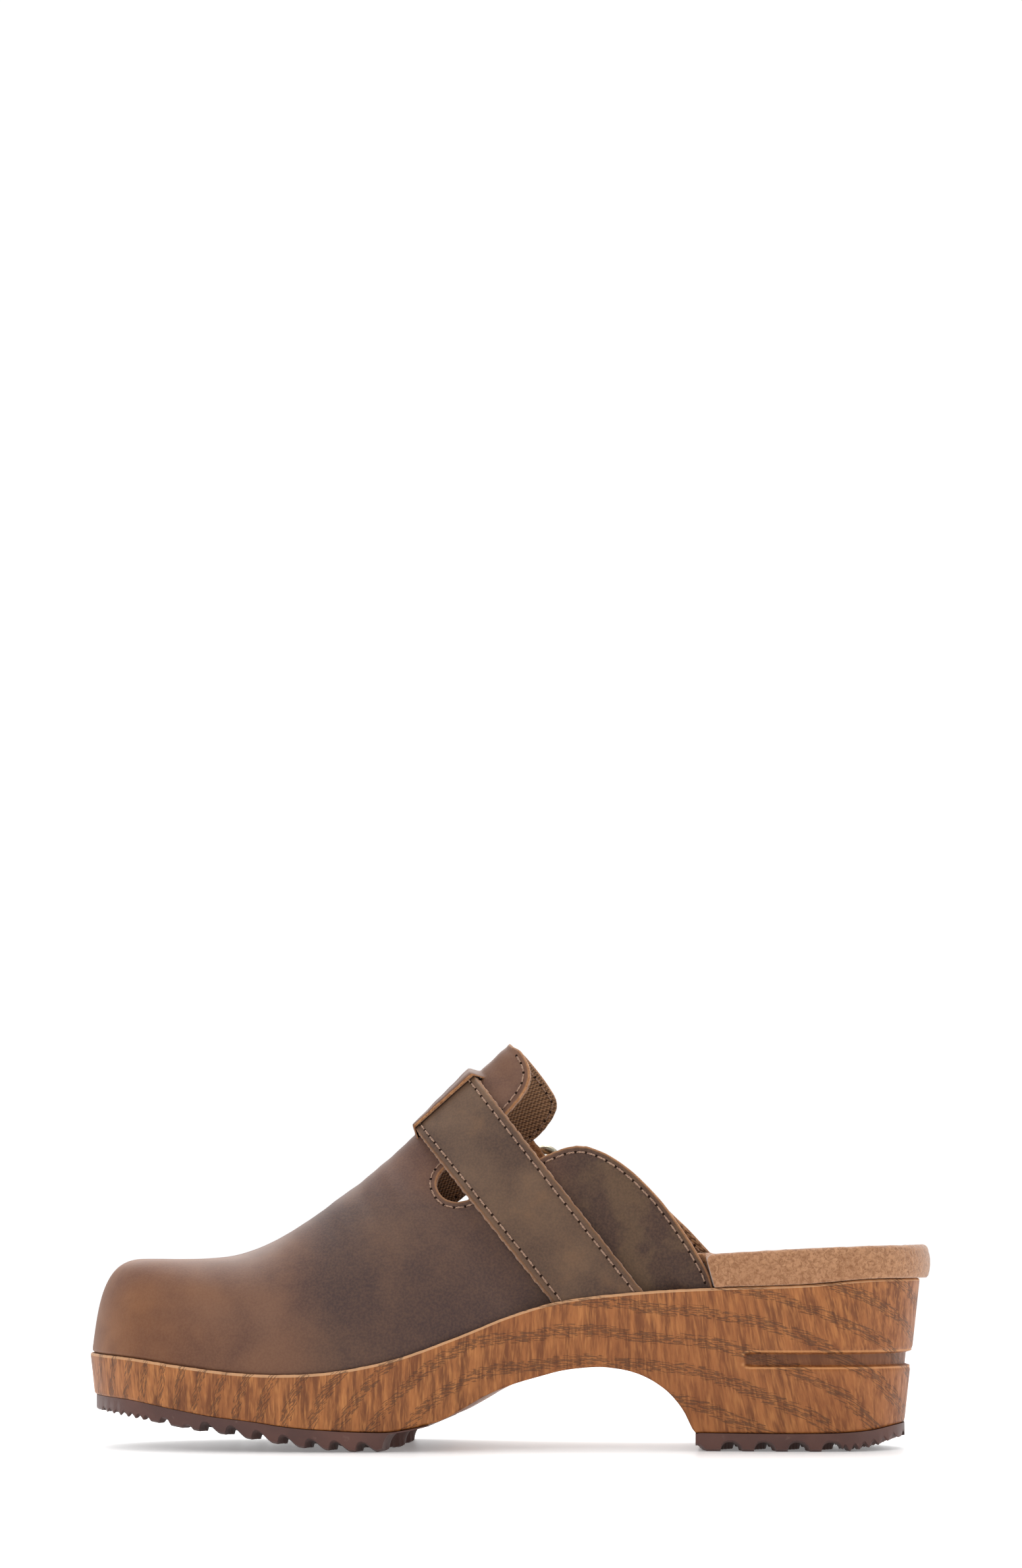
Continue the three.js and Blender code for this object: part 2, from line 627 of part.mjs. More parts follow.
/** Point from the buckle's own coordinates: down the strap, across it, away from the shoe. */
function byBuckle(a, b, n) {
  return buckleOrigin.clone()
    .addScaledVector(downStrap, a)
    .addScaledVector(acrossStrap, b)
    .addScaledVector(awayFromShoe, n);
}

/** Height of the upper under the buckle at a, the highest across the strap. */
function groundUnderBuckle(a) {
  const heights = [0.08, 0.3, 0.5, 0.7, 0.92].map((share) => {
    const k = lerp(strapRear, strapFront, share);
    let best = [Infinity, 0];
    for (let q = 0.3; q <= 1; q += 0.005) {
      const offset = upperPoint(k, q).sub(buckleOrigin);
      const miss = Math.abs(offset.dot(downStrap) - a);
      if (miss < best[0]) best = [miss, offset.dot(awayFromShoe)];
    }
    return best[1];
  });
  return Math.max(...heights);
}

/** A solid from an outline in a and n, as wide as given across the strap. */
function buckleProfile(points, width, from = -width / 2) {
  const shape = new THREE.Shape(points.map(([a, n]) => new THREE.Vector2(a, n)));
  const geometry = new THREE.ExtrudeGeometry(shape, { depth: width, bevelEnabled: false });
  geometry.translate(0, 0, from);
  const across = downStrap.clone().cross(awayFromShoe);
  const turn = new THREE.Matrix4().makeBasis(downStrap, awayFromShoe, across);
  return geometry.applyMatrix4(turn.setPosition(buckleOrigin));
}

function ring(radius, from, to, steps, centre = [0, 0]) {
  return range(steps + 1).map((i) => {
    const angle = lerp(from, to, i / steps);
    return [centre[0] + radius * Math.cos(angle), centre[1] + radius * Math.sin(angle)];
  });
}

const barCentre = byBuckle(0, 0, BAR.lift);

/** Lift of the frame's front rim, so that it clears the strap beneath it. */
const rimLift = groundUnderBuckle(-FRAME.reach) + STRAP.outer + 2 * GAP + FRAME.rim;
const tilt = Math.atan2(rimLift - BAR.lift, FRAME.reach);

/** Places geometry whose own x runs from the bar to the front rim and z away from the shoe. */
function onBar(geometry) {
  const up = downStrap.clone().multiplyScalar(-Math.cos(tilt));
  up.addScaledVector(awayFromShoe, Math.sin(tilt));
  const away = awayFromShoe.clone().multiplyScalar(Math.cos(tilt));
  away.addScaledVector(downStrap, Math.sin(tilt));
  const across = away.clone().cross(up);
  const turn = new THREE.Matrix4().makeBasis(up, across, away);
  return geometry.applyMatrix4(turn.setPosition(barCentre));
}

function barCylinder(radius, length) {
  return new THREE.CylinderGeometry(radius, radius, length, 16);
}

// ---------------------------------------------------------------- strap

/** Inner face of the strap off the flat of the buckle, from under the rim to over the bar. */
function strapLift(a) {
  const under = groundUnderBuckle(-FRAME.reach) + STRAP.inner;
  return lerp(under, STRAP_OVER_BAR, smoothstep(a, -FRAME.reach + FRAME.rim, -1));
}

/** The strap's run down the outer side: it leaves the upper and climbs over the bar. */
function strapSheet(inner, outer, q0, q1, rows, columns, k0 = strapRear, k1 = strapFront) {
  const grid = (distance) => range(rows + 1).map((row) => range(columns + 1).map((column) => {
    const k = lerp(k0, k1, row / rows);
    const q = lerp(q0, q1, column / columns);
    const onUpper = offUpper(k, q, distance - dip(q));
    if (q < 0.2) return onUpper;
    const a = upperPoint(strapMiddle, q).sub(buckleOrigin).dot(downStrap);
    const b = upperPoint(k, barPlace).sub(buckleOrigin).dot(acrossStrap);
    const free = byBuckle(a, b, strapLift(a) + distance - STRAP.inner);
    return onUpper.lerp(free, smoothstep(a, -FRAME.reach - 2, -FRAME.reach + 6));
  }));
  return between(grid(outer), grid(inner));
}

/** q on the strap's middle line at a distance a down from the bar. */
function placeAt(a) {
  let [low, high] = [0.05, 1];
  for (let i = 0; i < 40; i += 1) {
    const middle = (low + high) / 2;
    const along = upperPoint(strapMiddle, middle).sub(buckleOrigin).dot(downStrap);
    if (along < a) low = middle;
    else high = middle;
  }
  return low;
}

/** Slot in the strap for the prong. */
function prongSlot() {
  const { from, to, width } = PRONG_SLOT;
  return solid(buckleProfile([[from, -2], [to, -2], [to, 12], [from, 12]], width));
}

function instepStrap() {
  const strap = solid(strapSheet(STRAP.inner, STRAP.outer, -1, placeAt(STRAP_END), 3, 36));
  return strap.subtract(prongSlot()).intersect(overPocket);
}

function instepStrapBacking() {
  const { inner, outer } = BACKING;
  const sheet = solid(layer({
    k0: strapRear + 0.003, k1: strapFront - 0.003, q0: -1, q1: placeAt(-FRAME.reach + 1),
    rows: 3, columns: 24, inner: (k, q) => inner - dip(q), outer: (k, q) => outer - dip(q),
  }));
  return sheet.intersect(overPocket);
}

/** Free end of the strap: it lies on the chape and has a round tip. */
function strapTail() {
  const rows = 12;
  const halfWidth = upperPoint(strapFront, barPlace).distanceTo(upperPoint(strapRear, barPlace)) / 2;
  const grid = (extra) => range(rows + 1).map((row) => {
    const a = lerp(TAIL.start, TAIL.end, Math.sin((row / rows) * Math.PI / 2));
    const past = clamp((a - TAIL.end + halfWidth) / halfWidth, 0, 0.985);
    const half = halfWidth * Math.sqrt(1 - past * past);
    const resting = groundUnderBuckle(a) + 2 * CHAPE.thickness + 6 * GAP;
    const n = Math.max(lerp(STRAP_OVER_BAR, resting, smoothstep(a, 3, 11)), resting) + extra;
    return range(5).map((column) => byBuckle(a, lerp(half, -half, column / 4), n));
  });
  return between(grid(TAIL.thickness), grid(0));
}

/** Stitching along one edge of the strap, between two places. */
function strapStitching(edge, q0, q1) {
  const inward = Math.sign(strapMiddle - edge) * STRAP_STITCH_INSET;
  const path = range(15).map((i) => offUpper(edge + inward, lerp(q0, q1, i / 14), STRAP.outer + GAP + THREAD));
  return bead(path, THREAD, 5);
}

// ---------------------------------------------------------------- chape and buckle

/** Leather strip that comes out of the sole, wraps round the bar and is sewn down on itself. */
function buckleChape() {
  const { width, thickness, slot, fold } = CHAPE;
  const hug = BAR.radius + GAP;
  const downTo = upperPoint(strapMiddle, 1).sub(buckleOrigin).dot(downStrap) + 14;
  const stations = range(9).map((i) => lerp(3.5, downTo, i / 8));
  const under = stations.map((a) => [a, groundUnderBuckle(a) + GAP]);
  const underBack = under.map(([a, n]) => [a, n + thickness]).reverse();
  const folded = range(6).map((i) => lerp(4.5, fold, i / 5));
  const lift = (a) => lerp(2.6, thickness + GAP, smoothstep(a, 3, 9));
  const over = folded.map((a) => [a, groundUnderBuckle(a) + GAP + lift(a)]);
  const overBack = over.map(([a, n]) => [a, n + thickness]).reverse();
  const outside = ring(hug + thickness, Math.PI * 0.42, Math.PI * 1.5, 12, [0, BAR.lift]);
  const inside = ring(hug, Math.PI * 1.5, Math.PI * 0.42, 10, [0, BAR.lift]);
  const loop = [...outside, ...under, ...underBack, ...inside, ...over, ...overBack];
  const opening = [[-6, -2], [4, -2], [4, 12], [-6, 12]];
  const strip = solid(buckleProfile(loop, width)).subtract(solid(buckleProfile(opening, slot)));
  return strip.intersect(overPocket);
}

function chapeStitching() {
  const { width, thickness, fold } = CHAPE;
  const height = (a) => groundUnderBuckle(a) + 2 * GAP + 2 * thickness + THREAD + 0.2;
  const a = fold - 2;
  const half = width / 2 - 2;
  return bead(range(5).map((i) => byBuckle(a, lerp(-half, half, i / 4), height(a))), THREAD, 8);
}

function buckleFrame() {
  const { reach, innerWidth, outerWidth, rim } = FRAME;
  const front = reach + rim;
  const corner = 4;
  const shape = new THREE.Shape();
  shape.moveTo(0, -outerWidth / 2);
  shape.lineTo(front - corner, -outerWidth / 2);
  shape.absarc(front - corner, -outerWidth / 2 + corner, corner, -Math.PI / 2, 0);
  shape.absarc(front - corner, outerWidth / 2 - corner, corner, 0, Math.PI / 2);
  shape.lineTo(0, outerWidth / 2);
  shape.lineTo(0, innerWidth / 2);
  shape.lineTo(reach - rim - 1.5, innerWidth / 2);
  shape.lineTo(reach - rim, innerWidth / 2 - 1.5);
  shape.lineTo(reach - rim, -innerWidth / 2 + 1.5);
  shape.lineTo(reach - rim - 1.5, -innerWidth / 2);
  shape.lineTo(0, -innerWidth / 2);
  const options = { depth: 2 * rim - 0.8, bevelThickness: 0.4, bevelSize: 0.35, bevelOffset: -0.35,
    bevelSegments: 1, curveSegments: 6 };
  const body = new THREE.ExtrudeGeometry(shape, options).translate(0, 0, -rim + 0.4);
  const bore = barCylinder(BAR.radius + GAP, outerWidth + 4);
  const armWidth = (outerWidth - innerWidth) / 2;
  const hubs = [-1, 1].map((side) => {
    const hub = barCylinder(FRAME.hub, armWidth).translate(0, (side * (outerWidth - armWidth)) / 2, 0);
    return solid(onBar(hub));
  });
  return solid(onBar(body)).add(hubs[0]).add(hubs[1]).subtract(solid(onBar(bore)));
}

function buckleBar() {
  return onBar(barCylinder(BAR.radius, FRAME.outerWidth - 0.8));
}

function buckleProng() {
  const { width, thickness, eye, tip } = PRONG;
  const over = FRAME.rim + GAP;
  const profile = [
    ...ring(eye, Math.PI * 0.35, Math.PI * 1.75, 12),
    [6, 0.1],
    [FRAME.reach - 4, over - 0.7],
    [FRAME.reach - 2, over],
    [tip - 0.6, over],
    [tip, over + 0.5],
    [tip - 0.8, over + thickness * 0.8],
    [FRAME.reach - 3, over + thickness],
    [6, thickness + 0.4],
  ];
  const shape = new THREE.Shape(profile.map(([x, z]) => new THREE.Vector2(x, z)));
  const body = new THREE.ExtrudeGeometry(shape, { depth: width, bevelEnabled: false });
  body.rotateX(Math.PI / 2).translate(0, width / 2, 0);
  return solid(onBar(body)).subtract(solid(onBar(barCylinder(BAR.radius + GAP, width + 2))));
}

// ---------------------------------------------------------------- materials and assembly

const finish = (color, roughness, metalness = 0) => (
  new THREE.MeshStandardMaterial({ color, roughness, metalness })
);
const WOOD = finish("#9a6236", 0.6);
const RUBBER = finish("#4f322b", 0.7);
const BOARD = finish("#b59a72", 0.9);
const CORK = finish("#a9794a", 0.9);
const FOAM = finish("#d8cdb6", 0.95);
const SUEDE = finish("#b28a66", 0.95);
const NUBUCK = finish("#6b4c39", 0.6);
const CANVAS = finish("#5a4030", 0.95);
const STIFFENER = finish("#cdbf9f", 0.9);
const LEATHER_FLESH = finish("#b4875c", 0.85);
const METAL = finish("#8d8878", 0.35, 1);
const THREAD_FINISH = finish("#b6906e", 0.8);

const clog = new THREE.Group();

function add(name, shape, material) {
  const geometry = shape instanceof THREE.BufferGeometry ? shape : geometryOf(shape);
  const mesh = new THREE.Mesh(geometry, material);
  mesh.name = name;
  clog.add(mesh);
}

add("wooden_sole", woodenSole(), WOOD);
add("forefoot_tread", forefootTread(), RUBBER);
add("heel_tread", heelTread(), RUBBER);
add("insole_board", insoleBoard(), BOARD);
add("footbed_base", footbedBase(), CORK);
add("footbed_foam", footbedFoam(), FOAM);
add("footbed_cover", footbedCover(), SUEDE);
add("upper_leather", upperLeather(), NUBUCK);
add("upper_lining", upperLining(), CANVAS);
add("toe_puff", toePuff(), STIFFENER);
add("topline_stitching_inner", toplineStitching(-1), THREAD_FINISH);
add("topline_stitching_outer", toplineStitching(1), THREAD_FINISH);
add("instep_strap", instepStrap(), NUBUCK);
add("instep_strap_backing", instepStrapBacking(), LEATHER_FLESH);
add("strap_tail", strapTail(), NUBUCK);
const outerSeamEnd = placeAt(-FRAME.reach - 4);
add("strap_stitching_front_inner", strapStitching(strapFront, -0.9, -0.18), THREAD_FINISH);
add("strap_stitching_rear_inner", strapStitching(strapRear, -0.9, -0.18), THREAD_FINISH);
add("strap_stitching_front_outer", strapStitching(strapFront, 0.18, outerSeamEnd), THREAD_FINISH);
add("strap_stitching_rear_outer", strapStitching(strapRear, 0.18, outerSeamEnd), THREAD_FINISH);
add("buckle_chape", buckleChape(), NUBUCK);
add("chape_stitching", chapeStitching(), THREAD_FINISH);
add("buckle_bar", buckleBar(), METAL);
add("buckle_frame", buckleFrame(), METAL);
add("buckle_prong", buckleProng(), METAL);

clog.position.set(-CENTRE[0], -CENTRE[1], 0);

export default clog;
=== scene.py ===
"""Looks of an open-back wooden clog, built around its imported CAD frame.

The shapes below repeat the frame's own dimensions in millimetres; pieces are made in metres."""
import math

import bmesh
import bpy
import numpy as np
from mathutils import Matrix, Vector


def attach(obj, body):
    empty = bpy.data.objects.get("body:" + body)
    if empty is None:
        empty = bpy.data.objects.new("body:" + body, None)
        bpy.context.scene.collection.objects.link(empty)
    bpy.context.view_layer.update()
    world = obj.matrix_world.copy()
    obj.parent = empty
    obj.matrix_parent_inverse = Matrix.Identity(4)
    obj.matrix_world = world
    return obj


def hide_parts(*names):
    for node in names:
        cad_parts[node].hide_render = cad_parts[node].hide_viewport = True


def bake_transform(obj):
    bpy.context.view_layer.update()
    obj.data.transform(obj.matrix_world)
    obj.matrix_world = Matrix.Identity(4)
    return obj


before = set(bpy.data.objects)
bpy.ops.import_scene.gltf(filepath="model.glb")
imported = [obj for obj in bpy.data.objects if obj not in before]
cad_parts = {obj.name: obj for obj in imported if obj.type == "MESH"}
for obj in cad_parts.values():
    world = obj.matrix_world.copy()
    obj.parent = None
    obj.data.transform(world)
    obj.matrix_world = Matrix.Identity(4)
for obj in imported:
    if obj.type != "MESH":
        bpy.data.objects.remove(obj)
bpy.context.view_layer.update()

MM = 0.001
CENTRE = np.array([-0.1, 0.4, 0.0])
rng = np.random.default_rng(7)

# ------------------------------------------------------------------ design, as in the CAD part

RIM_OUTLINE = [
    (124.4, 0), (119.8, -17), (108, -28.5), (90, -32.5), (65, -31.5), (40, -31), (12, -34),
    (-15, -40), (-42, -45), (-68, -46), (-92, -42.5), (-110, -34.5), (-122, -21), (-127.3, -5),
    (-123.5, 11), (-113, 25), (-95, 37), (-72, 44.5), (-46, 47), (-18, 44.8), (12, 39.8),
    (40, 35.7), (65, 33.7), (90, 33), (108, 28.5), (119.8, 17),
]
RIM_HEIGHT = [
    (-127, 28), (-110, 27), (-93, 24.8), (-77, 23), (-63, 22.5), (-48, 23.4), (-30, 27),
    (-12, 33.4), (4, 39.8), (19, 44), (42, 46.6), (66, 47.9), (90, 48.7), (110, 50.3), (126, 50.5),
]
UNDERSIDE_HEIGHT = [
    (-126, 15.6), (-110.5, 14.6), (-96.8, 12.3), (-84.4, 10.2), (-72.3, 8.8), (-60.6, 7.1),
    (-49, 6.2), (-37.7, 5.7), (-30, 5.9), (-18, 8.6), (-11.4, 11.9), (-3.9, 16.2), (3.8, 19.4),
    (11.6, 21.7), (19.2, 23.6), (28.9, 24.5), (34.7, 24), (38.6, 23.2), (42.5, 21.8), (46.3, 19.7),
    (50.2, 16.6), (54.1, 11.7), (57.2, 5.6), (59, 5.3), (97, 5.3), (108.7, 6), (116.6, 7.4), (122, 8),
]
WALL_DRAFT = 0.12
POCKET_INSET = 1.0
POCKET_DEPTH = 3.3
TRIM = 1.0
GROOVE_Z = (24.7 + 28.9) / 2
GROOVE_DEPTH = 1.8
GROOVE_FRONT = 73.8
FOREFOOT_GROUND = [
    (-124, 11.2), (-110, 9.4), (-102, 8.2), (-88.6, 5.9), (-80, 4.9), (-71, 3.4), (-63, 2.1),
    (-56, 1.1), (-48, 0.4), (-42, 0.1), (-38, 0), (-32, 0), (-25, 1.5), (-20, 4),
]
TOOTH_DEPTH = 2.5
TEETH = [-85.4, -77.5, -69.6, -61.8, -53.9, -46.8, -39, -31.1]
HEEL_GROUND = [(58, 0), (101.5, 0), (107, 0.8), (111, 1.6), (115, 3), (119.5, 3.9)]
HEEL_GAP_FIRST = 67.6
HEEL_GAP_PITCH = 9.9
HEEL_GAPS = 4
HEEL_GAP_DEPTH = 2.6
BED_MIDDLE = [
    (-120, 31), (-90, 28.5), (-60, 27), (-40, 28.5), (-15, 37), (10, 46.5), (40, 52), (70, 53.5),
    (100, 54.5), (126, 56),
]
BED_EDGE_RISE = [(-120, 0.5), (-60, 1.5), (0, 4), (60, 5.5), (100, 6.5), (126, 5.6)]
OVERHANG_SIDE = 0.8
OVERHANG_HEEL = 2.7
BED_STEP = (60.4, 61.8)
BED_CROWN = 3.4
BED_HALF_WIDTH = 31.0
QUARTER_REAR = 74
RIDGE_Y = -4
RIDGE_HEIGHT = [
    (-101, 55.8), (-91, 56.2), (-83, 57.2), (-75, 59.8), (-67, 63.8), (-59, 68.6), (-51, 74.6),
    (-43, 80.6), (-35, 87.3), (-25, 96.7), (-13, 108.5), (-3, 118), (0.5, 121.2), (11, 131),
]
RIM_TO_RIDGE = [
    (-127, -101), (-100, -98), (-80, -88), (-50, -70), (-20, -51), (18.9, -26.8), (45.4, -9.6),
    (74, 10.9),
]
FULLNESS = [(-127, 4.5), (-100, 3.8), (-60, 2.9), (-20, 2.3), (20, 2.05), (66, 1.9)]
LEAN = [(-127, 0.15), (-60, 0.08), (-20, 0.02), (66, 0)]
TOPLINE_INNER = [
    (-3, 128), (0.5, 121.2), (4.5, 118.4), (7.3, 112.3), (5, 105.2), (-6, 93), (-16.8, 84.8),
    (-20.2, 79), (-17.1, 73.9), (-11, 73.4), (-2, 78.4), (13.3, 86.9), (22.5, 89.5), (30.3, 87.6),
    (38.2, 82.5), (46, 75), (51.8, 67.6), (57.7, 58.8), (61.9, 51), (63.2, 44),
]
TOPLINE_OUTER = [
    (-3, 128), (0.5, 121.2), (4.2, 118), (10.5, 109.5), (13, 103.5), (8.9, 96), (0, 89),
    (-10, 81), (-20.5, 72.5), (-19, 69.5), (-15, 68.5), (-8, 70.5), (4, 77), (14, 82), (22, 84),
    (30, 83.5), (38, 79.5), (47.3, 70.9), (55.7, 62.5), (63.5, 53), (65, 44),
]
STRAP_FRONT = 18.9
STRAP_REAR = 45.4
BACKING = (1.0, 1.55)
STRAP = (1.6, 2.9)
STRAP_HALF_WIDTH = 11.5
STRAP_SEAM = 2.4
TOPLINE_SEAM = 1.6
SLOT_HALF = 1.7
SLOT_ENDS = (-14.5, 0.8)
BRIDGE_HALF = 0.15
BRIDGE_RAMP = 0.012
BRIDGE_CLEAR = -0.002
BRIDGE_HEIGHT = 4.35
STRAP_DIP = 1.3
BAR_HEIGHT = 66
BAR_LIFT = 3
BAR_RADIUS = 1.1
FRAME_REACH = 21
FRAME_INNER = 25.4
FRAME_OUTER = 31
FRAME_RIM = 1.3
CHAPE_THICKNESS = 1.2
CHAPE_WIDTH = 22
CHAPE_FOLD = 13
CHAPE_CLEAR = 0.15
STRAP_OVER_BAR = 6
TAIL_START = 3.15
TAIL_END = 20
BEND_LENGTH = 5
BEND_HEIGHT = 7
BEND_LEAN = 30
GAP = 0.3


# ------------------------------------------------------------------ curves and surfaces

def smoothstep(x, low, high):
    """0 below low, 1 above high, smooth between them."""
    s = np.clip((np.asarray(x, float) - low) / (high - low), 0, 1)
    return s * s * (3 - 2 * s)


def mix(a, b, share):
    return a + (b - a) * share


def through(pairs):
    """A smooth function through (x, value) pairs, straight beyond the ends."""
    xs, vs = np.array(pairs, float).T
    slope = np.empty_like(vs)
    slope[1:-1] = (vs[2:] - vs[:-2]) / (xs[2:] - xs[:-2])
    slope[0] = (vs[1] - vs[0]) / (xs[1] - xs[0])
    slope[-1] = (vs[-1] - vs[-2]) / (xs[-1] - xs[-2])

    def value(x):
        x = np.asarray(x, float)
        i = np.clip(np.searchsorted(xs, x, side="right") - 1, 0, len(xs) - 2)
        width = xs[i + 1] - xs[i]
        s = (x - xs[i]) / width
        inside = (vs[i] * (1 + 2 * s) + slope[i] * width * s) * (1 - s) ** 2
        inside = inside + (vs[i + 1] * (3 - 2 * s) - slope[i + 1] * width * (1 - s)) * s**2
        before = vs[0] + slope[0] * (x - xs[0])
        after = vs[-1] + slope[-1] * (x - xs[-1])
        return np.where(x < xs[0], before, np.where(x > xs[-1], after, inside))

    return value


rim_height = through(RIM_HEIGHT)
underside_height = through(UNDERSIDE_HEIGHT)
bed_middle = through(BED_MIDDLE)
bed_edge_rise = through(BED_EDGE_RISE)
ridge_height = through(RIDGE_HEIGHT)
ridge_station = through(RIM_TO_RIDGE)
fullness = through(FULLNESS)
lean = through(LEAN)
forefoot_ground = through(FOREFOOT_GROUND)
heel_ground = through(HEEL_GROUND)


def outline(t):
    """Point and direction of the closed centripetal curve through the rim's points at t, 0 to 1."""
    points = np.array(RIM_OUTLINE, float)
    count = len(points)
    place = np.asarray(t, float) % 1 * count
    i = np.floor(place).astype(int)
    s = (place - i)[..., None]
    p0, p1, p2, p3 = (points[(i + d) % count] for d in (-1, 0, 1, 2))
    d0, d1, d2 = (np.sqrt(np.linalg.norm(b - a, axis=-1))[..., None]
                  for a, b in ((p0, p1), (p1, p2), (p2, p3)))
    m1 = ((p1 - p0) / d0 - (p2 - p0) / (d0 + d1) + (p2 - p1) / d1) * d1
    m2 = ((p2 - p1) / d1 - (p3 - p1) / (d1 + d2) + (p3 - p2) / d2) * d1
    c2 = -3 * p1 + 3 * p2 - 2 * m1 - m2
    c3 = 2 * p1 - 2 * p2 + m1 + m2
    point = p1 + m1 * s + c2 * s**2 + c3 * s**3
    along = m1 + 2 * c2 * s + 3 * c3 * s**2
    return point, along / np.linalg.norm(along, axis=-1, keepdims=True)


def rim_point(t, inset):
    """Plan point of the rim at t (0 heel back, 0.5 toe), moved inwards by a number or inset(x)."""
    point, along = outline(t)
    inward = np.stack([along[..., 1], -along[..., 0]], -1)
    amount = inset(point[..., 0]) if callable(inset) else np.full(point.shape[:-1], inset)
    return point + inward * np.asarray(amount)[..., None]


def leather_inset(x):
    """How far inside the rim the upper's foot stands."""
    zone = smoothstep(x, 0, 13) - smoothstep(x, 52, 62)
    return 1.3 + 2.7 * zone + 0.7 * smoothstep(x, 52, 62)


class UpperRim:
    """Foot of the upper on one side, by its share of the length from quarter to toe."""

    def __init__(self, side):
        t = np.arange(601) / 1200
        points = rim_point(t if side < 0 else 1 - t, leather_inset)
        self.points = points[points[:, 0] <= QUARTER_REAR]
        steps = np.linalg.norm(np.diff(self.points, axis=0), axis=1)
        self.share = np.concatenate([[0], np.cumsum(steps)]) / steps.sum()

    def at(self, k):
        return np.stack([np.interp(k, self.share, self.points[:, axis]) for axis in (0, 1)], -1)

    def station_of(self, x):
        return self.share[np.argmax(self.points[:, 0] < x)]


inner_rim = UpperRim(-1)
outer_rim = UpperRim(1)
strap_front = inner_rim.station_of(STRAP_FRONT)
strap_rear = inner_rim.station_of(STRAP_REAR)
strap_middle = (strap_front + strap_rear) / 2


def upper_point(k, q):
    """Surface of the upper: k from quarter (0) to toe (1), q from inner rim (-1) to outer rim (1)."""
    k, q = np.broadcast_arrays(np.asarray(k, float), np.asarray(q, float))
    inner = inner_rim.at(k)
    foot = np.where((q < 0)[..., None], inner, outer_rim.at(k))
    ridge_x = ridge_station(inner[..., 0])
    power = fullness(foot[..., 0])
    angle = (1 - np.abs(q)) * math.pi / 2
    cosine = np.maximum(np.cos(angle), 0)
    sine = np.maximum(np.sin(angle), 0)
    size = (cosine**power + sine**power) ** (1 / power)
    up = sine / size
    out = cosine / size * (1 - lean(foot[..., 0]) * up)
    forward = mix(out, 1 - up, smoothstep(foot[..., 0], -85, -30))
    foot_z = rim_height(foot[..., 0]) - POCKET_DEPTH - TRIM
    return np.stack([
        mix(ridge_x, foot[..., 0], forward),
        mix(RIDGE_Y, foot[..., 1], out),
        mix(foot_z, ridge_height(ridge_x), up),
    ], -1)


def unit(v):
    """Vectors scaled to length 1."""
    return v / np.maximum(np.linalg.norm(v, axis=-1, keepdims=True), 1e-12)


def upper_normal(k, q):
    """Outward direction of the upper; one middle direction along the front of the toe."""
    k, q = np.broadcast_arrays(np.asarray(k, float), np.asarray(q, float))

    def plain(k, q):
        d = 0.004
        along_q = upper_point(k, np.minimum(q + d, 1)) - upper_point(k, np.maximum(q - d, -1))
        along_k = upper_point(np.minimum(k + d, 1), q) - upper_point(np.maximum(k - d, 0), q)
        return unit(np.cross(along_q, along_k))

    k_safe = np.minimum(k, 0.998)
    normal = plain(k_safe, q)
    mirrored = plain(k_safe, -q)
    front = smoothstep(k, 0.975, 1)[..., None]
    normal = unit(mix(normal, unit(normal + mirrored), front))
    pole = (smoothstep(k, 0.72, 0.8) * (1 - smoothstep(np.abs(q), 0.06, 0.16)))[..., None]
    return unit(mix(normal, np.array([0.0, 0.0, 1.0]), pole))


def off_upper(k, q, distance):
    """A point this far outside the surface of the upper."""
    return upper_point(k, q) + upper_normal(k, q) * np.asarray(distance)[..., None]


def dip(q):
    """How much the strap sinks where it passes under the bridge."""
    return STRAP_DIP * (1 - smoothstep(np.abs(q), 0.06, BRIDGE_HALF))


def bridge_rise(k):
    """0 at the bridge's slits and 1 over the strap."""
    rear = smoothstep(k, strap_rear - BRIDGE_CLEAR - BRIDGE_RAMP, strap_rear - BRIDGE_CLEAR)
    front = 1 - smoothstep(k, strap_front + BRIDGE_CLEAR, strap_front + BRIDGE_CLEAR + BRIDGE_RAMP)
    return rear * front


def spline(points, per_span):
    """Uniform Catmull-Rom line through points, ends held."""
    p = np.array(points, float)
    padded = np.vstack([p[0], p, p[-1]])
    s = np.linspace(0, 1, per_span, endpoint=False)[:, None]
    spans = []
    for p0, p1, p2, p3 in zip(padded, padded[1:], padded[2:], padded[3:]):
        v1, v2 = (p2 - p0) / 2, (p3 - p1) / 2
        spans.append((2 * p1 - 2 * p2 + v1 + v2) * s**3
                     + (-3 * p1 + 3 * p2 - 2 * v1 - v2) * s**2 + v1 * s + p1)
    return np.vstack([*spans, p[-1:]])


def inset_line(line, inset):
    """The line moved to its right, into the leather."""
    along = unit(np.gradient(line, axis=0))
    return line + np.stack([along[:, 1], -along[:, 0]], -1) * inset


def even_places(points, step):
    """Evenly spaced lengths along a 3-D line, and the length at each of its own points."""
    length = np.concatenate([[0], np.cumsum(np.linalg.norm(np.diff(points, axis=0), axis=1))])
    count = max(2, int(round(length[-1] / step)) + 1)
    goals = np.linspace(0, length[-1], count)
    return goals, length


def find_on_upper(side, x, z, guess):
    """k and q of the surface point that has this x and z, on one side."""
    k, q = guess
    step = 0.002
    for _ in range(14):
        here = upper_point(k, q)
        by_k = (upper_point(k + step, q) - here) / step
        by_q = (upper_point(k, q + step) - here) / step
        det = by_k[0] * by_q[2] - by_q[0] * by_k[2]
        if abs(det) < 1e-6:
            break
        dx, dz = x - here[0], z - here[2]
        k = np.clip(k + np.clip((dx * by_q[2] - dz * by_q[0]) / det, -0.1, 0.1), 0.001, 0.99)
        q = q + np.clip((dz * by_k[0] - dx * by_k[2]) / det, -0.1, 0.1)
        q = np.clip(q, -1, -0.01) if side < 0 else np.clip(q, 0.01, 1)
    return k, q


